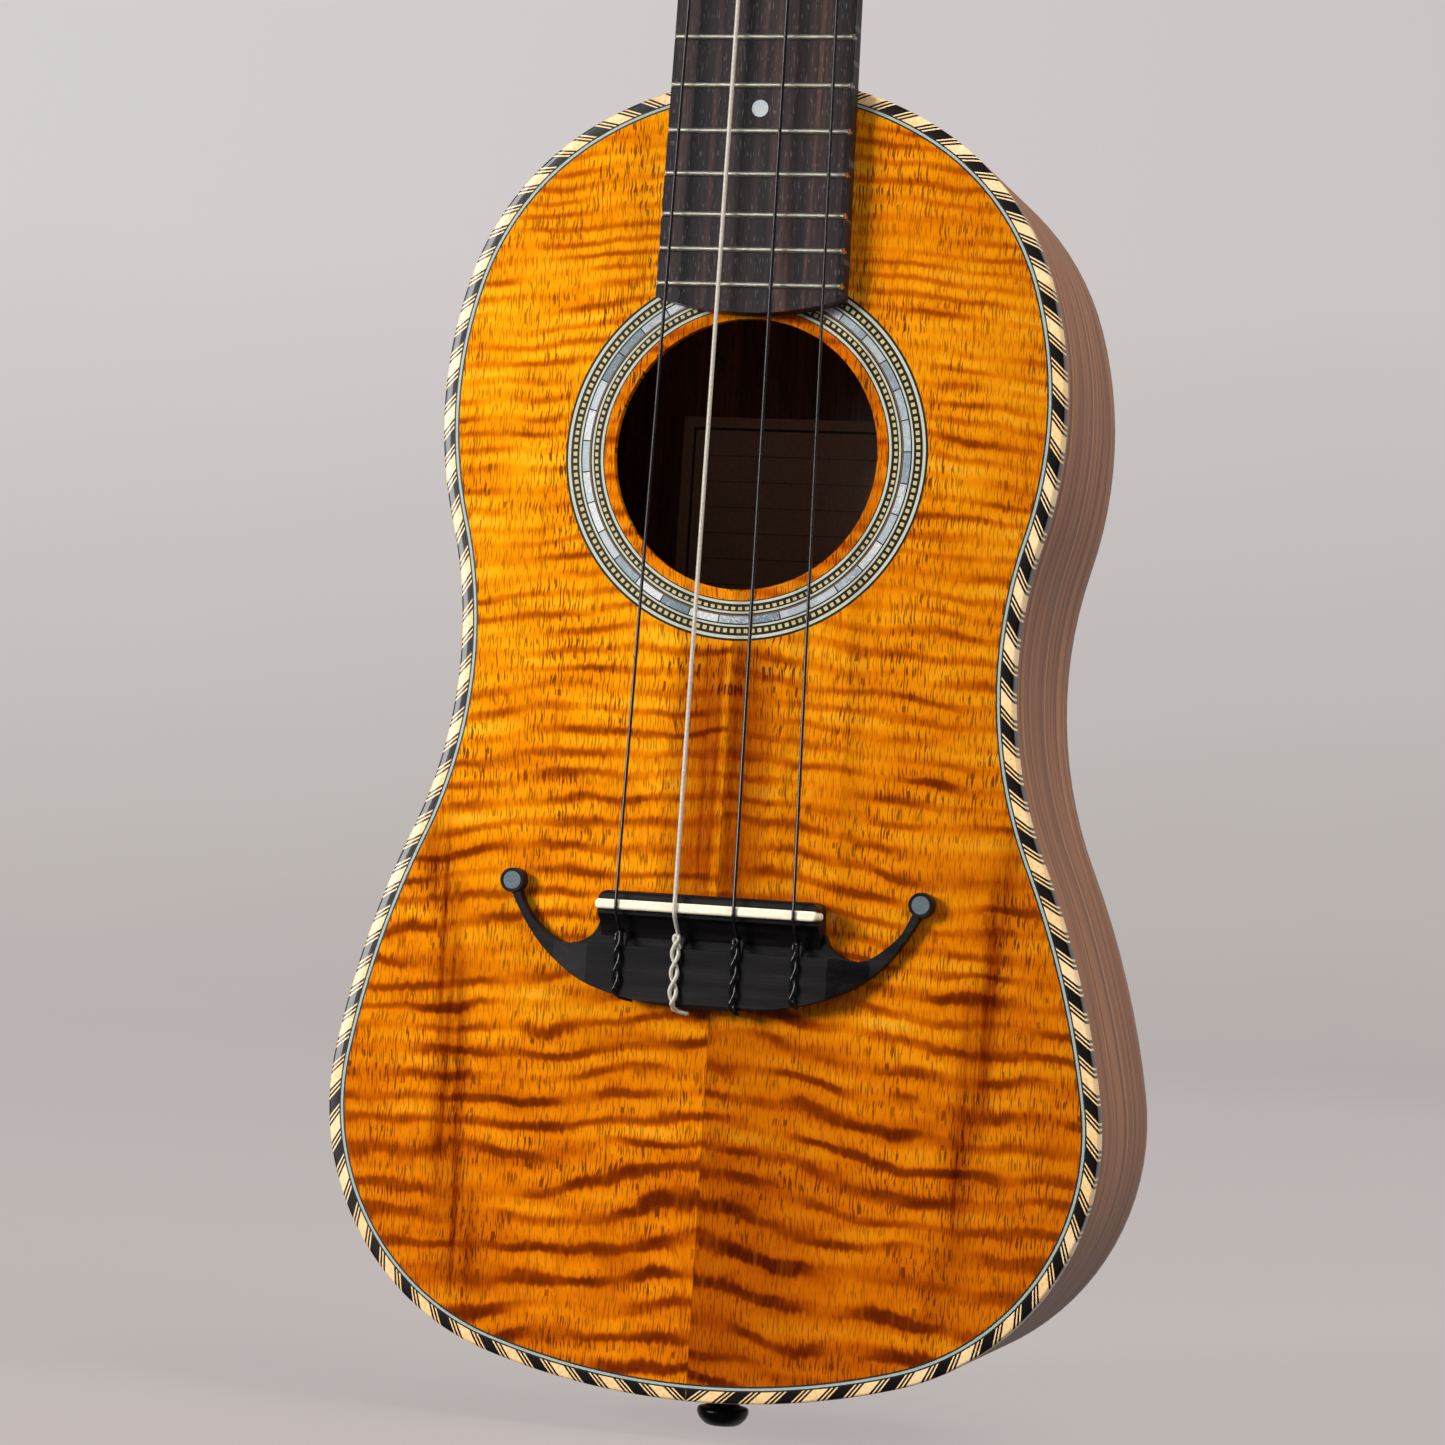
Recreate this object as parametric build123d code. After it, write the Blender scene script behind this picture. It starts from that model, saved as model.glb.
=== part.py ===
from build123d import *
import math
import os

# A tenor ukulele, in millimetres. It is drawn lying on its back (bench frame): +X across the strings,
# +Y from the tail to the head, +Z out of the soundboard, with Z = 0 half way through the body.
# Every piece is stood up as it is written, so in the files +Z runs up the neck and the soundboard faces -Y.

# --- driving dimensions -----------------------------------------------------------------------
SCALE_LENGTH = 432.0
SADDLE_Y = 115.0
FRET_COUNT = 19
# The last two frets sit slightly towards the nut of their exact places.
FRET_OFFSETS = {18: 0.9, 19: 1.2}
DOT_FRETS = (5, 7, 10, 12, 15)
DOT_R = 2.0
DOT_DEPTH = 1.2
BODY_DEPTH = 68.0
# Right half of the body's outline from the tail: radius and turn in degrees of tangent arcs.
# The waist turns the other way. A last arc, worked out below, closes the outline at the neck end.
BODY_ARCS = ((172.6, 16.8), (60.9, 82.5), (222.0, 14.5), (108.2, -39.8), (103.9, 33.4), (65.5, 41.0))
PLATE_T = 2.2
SIDE_T = 2.0
ROPE_WIDTH = 2.8
ROPE_DEPTH = 4.5
PURFLING_WIDTH = 1.3
INLAY_DEPTH = 1.2
SOUNDHOLE_Y = 221.3
SOUNDHOLE_R = 32.0
ROSETTE_RADII = (34.5, 38.1, 40.0, 44.0)
LINING_WIDTH = 5.0
LINING_HEIGHT = 9.0
KERF_PITCH = 9.0
KERF_WIDTH = 1.0
NECK_BLOCK = (58.0, 24.0)
TAIL_BLOCK = (50.0, 18.0)
FRETBOARD_T = 5.5
BOARD_END_Y = 253.8
BOARD_END_SAG = 3.5
BOARD_HALF_WIDTH_AT_NUT = 19.0
BOARD_TAPER = 0.0126
NUT_LENGTH = 5.0
FRET_CROWN = (1.5, 0.9)
FRET_TANG = (0.6, 1.8)
HEAD_TILT = 13.0
HEAD_LENGTH = 118.0
HEAD_T = 13.0
VENEER_T = 2.0
NECK_DEPTH = 15.0
HEEL_CAP_T = 3.0
# Strings from left to right: name, place at the saddle, place at the nut, radius.
STRINGS = (
    ("g", -21.3, -14.35, 0.40),
    ("c", -7.1, -4.8, 0.50),
    ("e", 7.1, 4.8, 0.43),
    ("a", 21.3, 14.35, 0.38),
)
SADDLE_TOP = 10.7
NUT_TOP = 7.3
NOTCH_GAP = 0.06
# Tuners in the head's own frame: across and along, in the order of the strings.
TUNER_PLACES = ((-16.0, 36.0), (-16.0, 78.0), (16.0, 78.0), (16.0, 36.0))
GEAR_MODULE = 0.8
GEAR_TEETH = 14
WORM_PITCH_R = 2.6
POST_R = 3.0
SHAFT_R = 1.5
RUNNING_GAP = 0.05

# --- values worked out from them ----------------------------------------------------------------
TOP = BODY_DEPTH / 2
BACK = -TOP
TOP_INNER = TOP - PLATE_T
BACK_INNER = BACK + PLATE_T
NUT_Y = SADDLE_Y + SCALE_LENGTH
BOARD_TOP = TOP + FRETBOARD_T
HEAD_Y = NUT_Y + NUT_LENGTH
WORM_PITCH = math.pi * GEAR_MODULE
GEAR_PITCH_R = GEAR_MODULE * GEAR_TEETH / 2
GEAR_CENTRES = GEAR_PITCH_R + WORM_PITCH_R

HEAD_PLANE = Plane(
    origin=(0, HEAD_Y, TOP),
    x_dir=(1, 0, 0),
    z_dir=(0, math.sin(math.radians(HEAD_TILT)), math.cos(math.radians(HEAD_TILT))),
)


def save(node, piece):
    """Stand a piece up and write it as one STEP file."""
    solids = [Rot(90, 0, 0) * solid for solid in ShapeList(piece.solids())]
    upright = solids[0] if len(solids) == 1 else Compound(children=solids)
    upright.label = node
    export_step(upright, f"parts/{node}.step")


def fret_y(number):
    return SADDLE_Y + SCALE_LENGTH * 2 ** (-number / 12) + FRET_OFFSETS.get(number, 0.0)


def board_half_width(y):
    return BOARD_HALF_WIDTH_AT_NUT + BOARD_TAPER * (NUT_Y - y)


def box_between(low, high):
    size = [b - a for a, b in zip(low, high)]
    centre = [(a + b) / 2 for a, b in zip(low, high)]
    return Pos(*centre) * Box(*size)


def disc(x, y, low, high, radius):
    return Pos(x, y, (low + high) / 2) * Cylinder(radius, high - low)


def disc_along_y(x, z, low, high, radius):
    return Pos(x, (low + high) / 2, z) * Rot(90, 0, 0) * Cylinder(radius, high - low)


# --- body ---------------------------------------------------------------------------------------
def body_face(inset=0.0):
    """The body's outline, moved inwards by inset, as a face on the bench plane."""
    right = []
    point = Vector(0, inset)
    heading = 0.0
    for radius, turn in BODY_ARCS:
        bulge = math.copysign(1, turn)
        tangent = (math.cos(math.radians(heading)), math.sin(math.radians(heading)))
        right.append(JernArc(point, tangent, radius - bulge * inset, turn))
        point = right[-1] @ 1
        heading += turn
    tangent = (math.cos(math.radians(heading)), math.sin(math.radians(heading)))
    neck_radius = point.X / math.sin(math.radians(heading))
    right.append(JernArc(point, tangent, neck_radius, 180 - heading))
    half = Curve() + right
    return make_face(half + mirror(half, about=Plane.YZ))


def body_slab(inset, low, high):
    return Pos(0, 0, low) * extrude(body_face(inset), high - low)


def body_ring(outer, inner, low, high):
    return body_slab(outer, low, high) - body_slab(inner, low - 1, high + 1)


def rosette_ring(inner, outer):
    high, low = TOP, TOP - INLAY_DEPTH
    return disc(0, SOUNDHOLE_Y, low, high, outer) - disc(0, SOUNDHOLE_Y, low - 1, high + 1, inner)


BODY_LENGTH = body_face().bounding_box().max.Y
NECK_BOLT_Z = -6.0
NECK_BOLT_R = 3.0
BUTTON_LENGTH = 9.2
BUTTON_SCREW_R = 1.5


def soundboard():
    plate = body_slab(ROPE_WIDTH, TOP_INNER, TOP)
    plate -= disc(0, SOUNDHOLE_Y, TOP_INNER - 1, TOP + 1, SOUNDHOLE_R)
    plate -= rosette_ring(ROSETTE_RADII[0], ROSETTE_RADII[-1])
    return plate - purfling()


def purfling():
    return body_ring(ROPE_WIDTH, ROPE_WIDTH + PURFLING_WIDTH, TOP - INLAY_DEPTH, TOP)


def rope_bindings():
    ring = body_ring(0, ROPE_WIDTH, TOP - ROPE_DEPTH, TOP)
    return split(ring, Plane.YZ, Keep.BOTH)


def sides():
    """Left and right bent sides, which meet on the centre line at both ends."""
    ring = body_ring(0, SIDE_T, BACK_INNER, TOP - ROPE_DEPTH)
    ring -= neck_bolt_hole()
    ring -= tail_screw_hole()
    return split(ring, Plane.YZ, Keep.BOTTOM), split(ring, Plane.YZ, Keep.TOP)


def neck_bolt_hole():
    return disc_along_y(0, NECK_BOLT_Z, BODY_LENGTH - 40, BODY_LENGTH + 40, NECK_BOLT_R + 0.2)


def tail_screw_hole():
    return disc_along_y(0, 0, -17, 17, BUTTON_SCREW_R)


def neck_block():
    width, length = NECK_BLOCK
    cut = box_between((-width / 2, BODY_LENGTH - length, BACK_INNER), (width / 2, BODY_LENGTH, TOP_INNER))
    return (body_slab(SIDE_T, BACK_INNER, TOP_INNER) & cut) - rope_rabbet() - neck_bolt_hole()


def tail_block():
    width, length = TAIL_BLOCK
    cut = box_between((-width / 2, 0, BACK_INNER), (width / 2, length, TOP_INNER))
    return (body_slab(SIDE_T, BACK_INNER, TOP_INNER) & cut) - rope_rabbet() - tail_screw_hole()


def rope_rabbet():
    """The step that the rope binding sits in, where it is cut deeper than the sides are thick."""
    return body_ring(SIDE_T - 1, ROPE_WIDTH, TOP - ROPE_DEPTH, TOP)


def block_room():
    """The room that both end blocks take up."""
    neck_w, neck_l = NECK_BLOCK
    tail_w, tail_l = TAIL_BLOCK
    neck_room = box_between((-neck_w / 2, BODY_LENGTH - neck_l, BACK), (neck_w / 2, BODY_LENGTH, TOP))
    return neck_room + box_between((-tail_w / 2, 0, BACK), (tail_w / 2, tail_l, TOP))


def kerfs(low, high):
    """Saw cuts across a lining, which let it bend round the sides."""
    cuts = []
    for row in range(int(BODY_LENGTH / KERF_PITCH)):
        y = (row + 1) * KERF_PITCH
        cuts.append(box_between((-120, y - KERF_WIDTH / 2, low), (120, y + KERF_WIDTH / 2, high)))
    return Compound(children=cuts)


def lining(low, high, kerf_low, kerf_high):
    strip = body_ring(SIDE_T, SIDE_T + LINING_WIDTH, low, high)
    saw = body_ring(SIDE_T + 1.2, SIDE_T + LINING_WIDTH + 1, kerf_low, kerf_high) & kerfs(kerf_low, kerf_high)
    return strip - saw - block_room()


def top_linings():
    low = TOP_INNER - LINING_HEIGHT
    return lining(low, TOP_INNER, low - 1, TOP_INNER - 2) - rope_rabbet() - soundhole_braces()


def back_linings():
    high = BACK_INNER + LINING_HEIGHT
    return lining(BACK_INNER, high, BACK_INNER + 2, high + 1) - back_braces()


BRACE_TAPER = 22.0


def bar(x, y, angle, length, width, height, top_side=True):
    """A brace glued to a plate, thinned to half height at both ends."""
    end = length / 2
    tip, full = height * 0.35, end - BRACE_TAPER
    side_view = ((-end, 0), (end, 0), (end, tip), (full, height), (-full, height), (-end, tip))
    piece = extrude(Plane.XZ * make_face(Polyline(*side_view, close=True)), width / 2, both=True)
    upright = Rot(180, 0, 0) * piece if top_side else piece
    return Pos(x, y, TOP_INNER if top_side else BACK_INNER) * Rot(0, 0, angle) * upright


SOUNDHOLE_BRACE_YS = (SOUNDHOLE_Y - 50, SOUNDHOLE_Y + 49)
BACK_BRACE_YS = (62.0, 160.0, 272.0)


def trimmed_bars(ys, width, height, top_side):
    """Bars cut to the width of the body at their place, with their ends let into the linings."""
    pieces = []
    for y in ys:
        room = body_slab(SIDE_T + LINING_WIDTH / 2, BACK_INNER, TOP_INNER) & box_between(
            (-120, y - width, BACK), (120, y + width, TOP)
        )
        reach = room.bounding_box().max.X
        pieces.append(bar(0, y, 0, 2 * reach, width, height, top_side) & room)
    return pieces


def soundhole_braces():
    return Compound(children=trimmed_bars(SOUNDHOLE_BRACE_YS, 7, 9, True))


def back_braces():
    return Compound(children=trimmed_bars(BACK_BRACE_YS, 7, 10, False))


def bridge_patch():
    plate = box_between((-48, SADDLE_Y - 24, TOP_INNER - 1.6), (48, SADDLE_Y + 4, TOP_INNER))
    return chamfer(plate.edges().group_by(Axis.Z)[0], 1.2)


def fan_braces():
    patch = bridge_patch()
    bars = []
    for side in (-1, 0, 1):
        bars.append(bar(side * 33, 82, 90 + side * 14, 118 - 16 * abs(side), 5, 7) - patch)
    return Compound(children=bars)


def label():
    return box_between((-34.5, 186, BACK_INNER), (34.5, 238, BACK_INNER + 0.2))


# --- bridge, saddle and strap button -------------------------------------------------------------
WING_TIP = (49.4, 118.3)
WING_TIP_R = 2.9
WING_HEIGHT = 3.2
WING_TIP_RISE = 0.4
WING_DOT_R = 2.1
WING_DOT_DEPTH = 0.9
BLOCK_HEIGHT = 8.2
BLOCK_HALF_WIDTH = 26.5
TIE_BLOCK_HEIGHT = 6.6
TIE_BLOCK_HALF_WIDTH = 29.0
TIE_BLOCK_Y = (91.0, 104.7)
RAMP_END_X = 38.2
SADDLE_SLOT_Y = (113.0, 115.3)
SADDLE_HALF_LENGTH = 26.6
SLOT_HEIGHT = 3.4
TIE_HOLE_HEIGHT = 3.6
TIE_HOLE_R = 0.9
TIE_LOOP_Y = 108.6


def both_sides(shape):
    return shape + mirror(shape, about=Plane.YZ)


def wing_face():
    """One half of the bridge's moustache-shaped base, out to the neck of its round tip."""
    low, high = TIE_BLOCK_Y[0], 110.0
    lower = Spline(
        (0, low), (15, 91.9), (30, 95.8), (41.3, 103.5), (47.4, 111.8), (49.6, 116.4),
        tangents=((1, 0), (0.35, 1)),
    )
    upper = Spline(
        (47.7, 116.4), (45.4, 111.7), (42.0, 108.0), (35.2, 104.4), (28.6, 107.1), (27.2, high),
        tangents=((-0.5, -1), (-0.3, 1)),
    )
    edges = [lower, Line(lower @ 1, upper @ 0), upper, Line(upper @ 1, (0, high)), Line((0, high), (0, low))]
    return make_face(Curve() + edges)


def block_side_view():
    """Section through the middle of the bridge: tie block, trough and saddle block."""
    low, high = TIE_BLOCK_Y
    trough = 2.6
    back_edge, rounding, front_edge = 111.9, 115.9, 117.4
    outline = [
        Line((low, 0), (low, TIE_BLOCK_HEIGHT - 1)),
        Line((low, TIE_BLOCK_HEIGHT - 1), (low + 1, TIE_BLOCK_HEIGHT)),
        Line((low + 1, TIE_BLOCK_HEIGHT), (high, TIE_BLOCK_HEIGHT)),
        Line((high, TIE_BLOCK_HEIGHT), (high, trough)),
        Spline((high, trough), (108.4, 4.4), (back_edge, BLOCK_HEIGHT), tangents=((1, 0.1), (0.4, 1))),
        Line((back_edge, BLOCK_HEIGHT), (rounding, BLOCK_HEIGHT)),
        Spline((rounding, BLOCK_HEIGHT), (front_edge, BLOCK_HEIGHT - 1.8), tangents=((1, 0), (0, -1))),
        Line((front_edge, BLOCK_HEIGHT - 1.8), (front_edge, 0)),
        Line((front_edge, 0), (low, 0)),
    ]
    return make_face(Curve() + outline)


def tie_block():
    """The raised tie block, whose top slopes down into the wings at both ends."""
    low, high = TIE_BLOCK_Y
    flat, end = TIE_BLOCK_HALF_WIDTH, RAMP_END_X
    front = Polyline(
        (-end, 0), (end, 0), (end, WING_HEIGHT), (flat, TIE_BLOCK_HEIGHT), (-flat, TIE_BLOCK_HEIGHT),
        (-end, WING_HEIGHT), close=True,
    )
    profile = Pos(0, high, 0) * extrude(Plane.XZ * make_face(front), high - low + 2)
    return extrude(both_sides(wing_face()), TIE_BLOCK_HEIGHT) & profile


def bridge():
    base = extrude(both_sides(wing_face()), WING_HEIGHT)
    for side in (-1, 1):
        base += disc(side * WING_TIP[0], WING_TIP[1], 0, WING_HEIGHT + WING_TIP_RISE, WING_TIP_R)
    section = Pos(-60, 0, 0) * extrude(Plane.YZ * block_side_view(), 120)
    saddle_block = extrude(Pos(0, 110) * RectangleRounded(2 * BLOCK_HALF_WIDTH, 14.8, 2.4), BLOCK_HEIGHT)
    core = (saddle_block + tie_block()) & section
    shape = Pos(0, 0, TOP) * (base + core)
    slot_low, slot_high = SADDLE_SLOT_Y
    shape -= box_between((-40, slot_low, TOP + SLOT_HEIGHT), (40, slot_high, TOP + 20))
    tie_low, tie_high = TIE_BLOCK_Y
    for _, x, _, _ in STRINGS:
        shape -= disc_along_y(x, TOP + TIE_HOLE_HEIGHT, tie_low - 8, tie_high + 8, TIE_HOLE_R)
    return shape - bridge_dots()


def saddle():
    low, high = SADDLE_SLOT_Y
    plan = Pos(0, (low + high) / 2) * RectangleRounded(2 * SADDLE_HALF_LENGTH, high - low, 1.0)
    blank = Pos(0, 0, TOP + SLOT_HEIGHT) * extrude(plan, SADDLE_TOP - 0.3 - SLOT_HEIGHT)
    blank = fillet(blank.edges().group_by(Axis.Z)[-1], 0.6)
    for _, x, _, radius in STRINGS:
        blank -= disc_along_y(x, TOP + SADDLE_TOP, low - 5, high + 5, radius + NOTCH_GAP)
    return blank


def bridge_dots():
    low = TOP + WING_HEIGHT - WING_DOT_DEPTH
    high = TOP + WING_HEIGHT + WING_TIP_RISE
    x, y = WING_TIP
    return Compound(children=[disc(side * x, y, low, high, WING_DOT_R) for side in (-1, 1)])


def turned(edges):
    """Turn a profile (radius, distance from the body) about the strap button's axis."""
    return Rot(90, 0, 0) * revolve(Plane.XZ * make_face(edges), Axis.Z)


def strap_button():
    """Mushroom-shaped button: waisted stem, wide domed head, with a countersunk hole."""
    bore = BUTTON_SCREW_R + 0.1
    return turned(Curve() + [
        Line((bore, 0), (3.5, 0)),
        Spline((3.5, 0), (2.75, 2.6), (5.5, 4.8), tangents=((-0.3, 1), (1, 0.2))),
        Spline((5.5, 4.8), (6.2, 5.5), (6.1, 6.5), tangents=((1, 0.2), (-0.3, 1))),
        Spline((6.1, 6.5), (5.1, 8.1), (3.4, BUTTON_LENGTH), tangents=((-0.3, 1), (-1, 0.3))),
        Line((3.4, BUTTON_LENGTH), (bore, BUTTON_LENGTH - 1.8)),
        Line((bore, BUTTON_LENGTH - 1.8), (bore, 0)),
    ])


def strap_button_screw():
    head = BUTTON_LENGTH - 0.1
    shank = BUTTON_SCREW_R
    profile = ((0, -16), (0.3, -16), (shank, -13), (shank, head - 1.8), (3.3, head), (0, head))
    slot = box_between((-0.4, -head - 1, -2.6), (0.4, -head + 1, 2.6))
    return turned(Polyline(*profile, close=True)) - slot


# --- neck, fretboard and head ----------------------------------------------------------------------
HEEL_TOE_Y = 316.0
HEEL_LENGTH = 26.0
HEEL_DEPTH = 75.0
HEEL_HALF_WIDTH = 8.0
HEEL_SWEEP_STEPS = (0, 2, 5, 9, 13, 18, HEEL_LENGTH)


def d_section(half_width, depth):
    """A neck section: flat on top, round underneath. Local +Y is down."""
    low = depth * 4 / 3
    curve = Bezier((-half_width, 0), (-half_width, low), (half_width, low), (half_width, 0))
    return make_face(Curve() + [curve, Line((half_width, 0), (-half_width, 0))])


def neck_section(y):
    """Section under the fretboard: round along the shaft, drawn down to a narrow keel at the heel."""
    sweep = min(max((HEEL_TOE_Y + HEEL_LENGTH - y) / HEEL_LENGTH, 0.0), 1.0)
    half = board_half_width(y)
    shaft_depth = NECK_DEPTH + 2.0 * (NUT_Y - y) / (NUT_Y - BODY_LENGTH)
    depth = shaft_depth + (HEEL_DEPTH - shaft_depth) * sweep ** 2.6
    flat = 1.0 + (HEEL_HALF_WIDTH - 1.0) * sweep
    hip = (half * (1 - 0.3 * sweep), depth * (0.667 - 0.34 * sweep))
    thigh = (half / 2 * (1 - sweep) + 9.2 * sweep, depth * (1 - 0.4 * sweep))
    right = Bezier((half, 0), hip, thigh, (flat, depth))
    left = Bezier((-flat, depth), (-thigh[0], thigh[1]), (-hip[0], hip[1]), (-half, 0))
    outline = Curve() + [right, Line((flat, depth), (-flat, depth)), left, Line((-half, 0), (half, 0))]
    return Plane(origin=(0, y, TOP), x_dir=(1, 0, 0), z_dir=(0, 1, 0)) * make_face(outline)


def neck_blank():
    """Shaft and heel in one, before the body, the heel cap and the hardware are cut out of it."""
    heel = loft([neck_section(HEEL_TOE_Y + step) for step in HEEL_SWEEP_STEPS])
    shaft = loft([neck_section(HEEL_TOE_Y + HEEL_LENGTH), neck_section(HEAD_Y)])
    root = extrude(neck_section(HEEL_TOE_Y), -20)
    return root + heel + shaft


def head_face():
    """The head's generic outline: it widens from the nut, and ends in a shallow crown."""
    half = BOARD_HALF_WIDTH_AT_NUT
    flare = Bezier((half, 0), (half + 0.4, 13), (28.5, 13), (29.5, 28))
    flank = Line(flare @ 1, (31.5, 96))
    crown = Bezier(flank @ 1, (32.2, 113), (13, HEAD_LENGTH), (0, HEAD_LENGTH))
    right = Curve() + [flare, flank, crown]
    return make_face(right + mirror(right, about=Plane.YZ) + Line((half, 0), (-half, 0)))


def head_blank():
    slab = extrude(head_face(), -HEAD_T)
    slab = fillet(slab.edges().group_by(Axis.Z)[0].filter_by(lambda e: e.center().Y > 1), 1.6)
    ramp = Pos(0, -6, -HEAD_T - 10) * Rot(0, 90, 0) * Cylinder(21, 200)
    tongue = loft([
        Plane(origin=(0, -6, 0), x_dir=(1, 0, 0), z_dir=(0, 1, 0)) * d_section(18.2, 14.8),
        Plane(origin=(0, 12, 0), x_dir=(1, 0, 0), z_dir=(0, 1, 0)) * d_section(15.5, 14.4),
        Plane(origin=(0, 34, 0), x_dir=(1, 0, 0), z_dir=(0, 1, 0)) * d_section(8.0, 12.6),
    ])
    return HEAD_PLANE.location * (slab - ramp + (tongue & box_between((-30, 0.2, -30), (30, 60, 0))))


def neck():
    blank = neck_blank() + head_blank()
    blank -= box_between((-60, BODY_LENGTH - 40, BACK - 20), (60, NUT_Y, BACK + HEEL_CAP_T))
    blank -= body_slab(0, BACK - 20, TOP + 1)
    blank -= disc_along_y(0, NECK_BOLT_Z, BODY_LENGTH - 30, BODY_LENGTH + INSERT_LENGTH + 1, INSERT_R)
    blank -= box_between((-60, NUT_Y - 1, TOP), (60, HEAD_Y + 0.2, TOP + 9))
    for u, v in TUNER_PLACES:
        blank -= HEAD_PLANE.location * disc(u, v, -BUSHING_SLEEVE, 1, BUSHING_R)
        blank -= HEAD_PLANE.location * disc(u, v, -HEAD_T - 1, 1, POST_R + 0.4)
        for du, dv in SCREW_PLACES:
            hole = disc(u + du, v + dv, -HEAD_T - 1, -HEAD_T + SCREW_LENGTH + 0.5, SCREW_R)
            blank -= HEAD_PLANE.location * hole
    return blank


def heel_cap():
    cap = neck_blank() & box_between((-60, BODY_LENGTH - 40, BACK), (60, NUT_Y, BACK + HEEL_CAP_T))
    return cap - body_slab(0, BACK - 1, TOP + 1)


INSERT_R = 4.5
INSERT_LENGTH = 11.0


def neck_insert():
    low = BODY_LENGTH + 0.2
    sleeve = disc_along_y(0, NECK_BOLT_Z, low, low + INSERT_LENGTH, INSERT_R)
    return sleeve - disc_along_y(0, NECK_BOLT_Z, low - 1, low + INSERT_LENGTH + 1, NECK_BOLT_R)


def neck_bolt():
    """Hex bolt with its washer, driven from inside the body through the neck block."""
    seat = BODY_LENGTH - NECK_BLOCK[1]
    shank = disc_along_y(0, NECK_BOLT_Z, seat - 4, BODY_LENGTH + INSERT_LENGTH - 1, NECK_BOLT_R)
    washer = disc_along_y(0, NECK_BOLT_Z, seat - 1.2, seat, 7.5)
    hexagon = Pos(0, seat - 5.6, NECK_BOLT_Z) * Rot(-90, 0, 0) * extrude(RegularPolygon(5.77, 6), 4.4)
    return shank + washer + hexagon


def board_plan(low_y, high_y):
    low, high = board_half_width(low_y), board_half_width(high_y)
    return make_face(Polyline((-low, low_y), (low, low_y), (high, high_y), (-high, high_y), close=True))


def fretboard():
    corner = BOARD_END_Y + BOARD_END_SAG
    low, high = board_half_width(corner), board_half_width(NUT_Y)
    outline = [
        ThreePointArc((-low, corner), (0, BOARD_END_Y), (low, corner)),
        Line((low, corner), (high, NUT_Y)),
        Line((high, NUT_Y), (-high, NUT_Y)),
        Line((-high, NUT_Y), (-low, corner)),
    ]
    board = Pos(0, 0, TOP) * extrude(make_face(Curve() + outline), FRETBOARD_T)
    board -= Compound(children=[tang(number) for number in range(1, FRET_COUNT + 1)])
    return board - position_dots()


def tang(number):
    width, depth = FRET_TANG
    y = fret_y(number)
    return Pos(0, 0, BOARD_TOP - depth) * extrude(board_plan(y - width / 2, y + width / 2), depth)


def crown(number):
    width, height = FRET_CROWN
    y = fret_y(number)
    half = board_half_width(y)
    low, high, pull = y - width / 2, y + width / 2, height * 4 / 3
    section = Curve() + [Bezier((low, 0), (low, pull), (high, pull), (high, 0)), Line((high, 0), (low, 0))]
    bar_shape = Pos(-half, 0, BOARD_TOP) * extrude(Plane.YZ * make_face(section), 2 * half)
    front = Polyline((-half, 0), (half, 0), (half - 0.9, 1.5), (-half + 0.9, 1.5), close=True)
    bevel = Pos(0, y + 5, BOARD_TOP) * extrude(Plane.XZ * make_face(front), 10)
    return bar_shape & bevel


def frets():
    return Compound(children=[crown(n).solid().fuse(tang(n).solid()) for n in range(1, FRET_COUNT + 1)])


def position_dots():
    dots = []
    for number in DOT_FRETS:
        y = (fret_y(number) + fret_y(number - 1)) / 2
        dots.append(disc(0, y, BOARD_TOP - DOT_DEPTH, BOARD_TOP, DOT_R))
    return Compound(children=dots)


def nut():
    half = BOARD_HALF_WIDTH_AT_NUT
    blank = box_between((-half, NUT_Y, TOP), (half, HEAD_Y, TOP + NUT_TOP))
    blank = fillet(blank.edges().filter_by(Axis.X).group_by(Axis.Z)[-1], 1.2)
    for _, _, x, radius in STRINGS:
        blank -= disc_along_y(x, TOP + NUT_TOP, NUT_Y - 5, HEAD_Y + 5, radius + NOTCH_GAP)
    return blank


def head_veneer():
    veneer = extrude(head_face(), VENEER_T)
    for u, v in TUNER_PLACES:
        veneer -= disc(u, v, -1, VENEER_T + 1, BUSHING_R)
    return HEAD_PLANE.location * veneer - box_between((-60, 0, TOP - 1), (60, HEAD_Y + 0.05, TOP + 9))


# --- tuning machines ---------------------------------------------------------------------------------
BUSHING_R = 4.2
BUSHING_SLEEVE = 6.0
COLLAR_R = 5.4
COLLAR_T = 1.2
PLATE_METAL_T = 1.2
GEAR_T = 2.4
WORM_TIP_R = WORM_PITCH_R + 0.65
WORM_ROOT_R = WORM_PITCH_R - 0.9
WORM_W = -HEAD_T - PLATE_METAL_T - WORM_TIP_R - 0.35
WORM_HALF = 5.2
EAR_T = 1.3
EAR_R = 3.2
EAR_INNER = WORM_HALF + 0.12
PLATE_SIZE = (14.6, 31.0)
PLATE_CORNER_R = 3.0
PLATE_CENTRE_V = 3.2
SCREW_R = 1.1
SCREW_LENGTH = 7.0
SCREW_PLACES = ((0.0, -9.0), (0.0, 15.5))
COIL_W = VENEER_T + COLLAR_T + 4.2
POST_TOP = VENEER_T + COLLAR_T + 10.5
WAIST_R = POST_R - 0.4
COIL_GAP = 0.15
KNOB_INNER = 20.5
KNOB_HALF_LENGTH = 6.5
KNOB_HALF_WIDTH = 8.0
KNOB_HALF_T = 3.6
SHAFT_END = KNOB_INNER + 7.0


def on_head(u, v, piece):
    return HEAD_PLANE.location * (Pos(u, v, 0) * piece)


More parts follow.
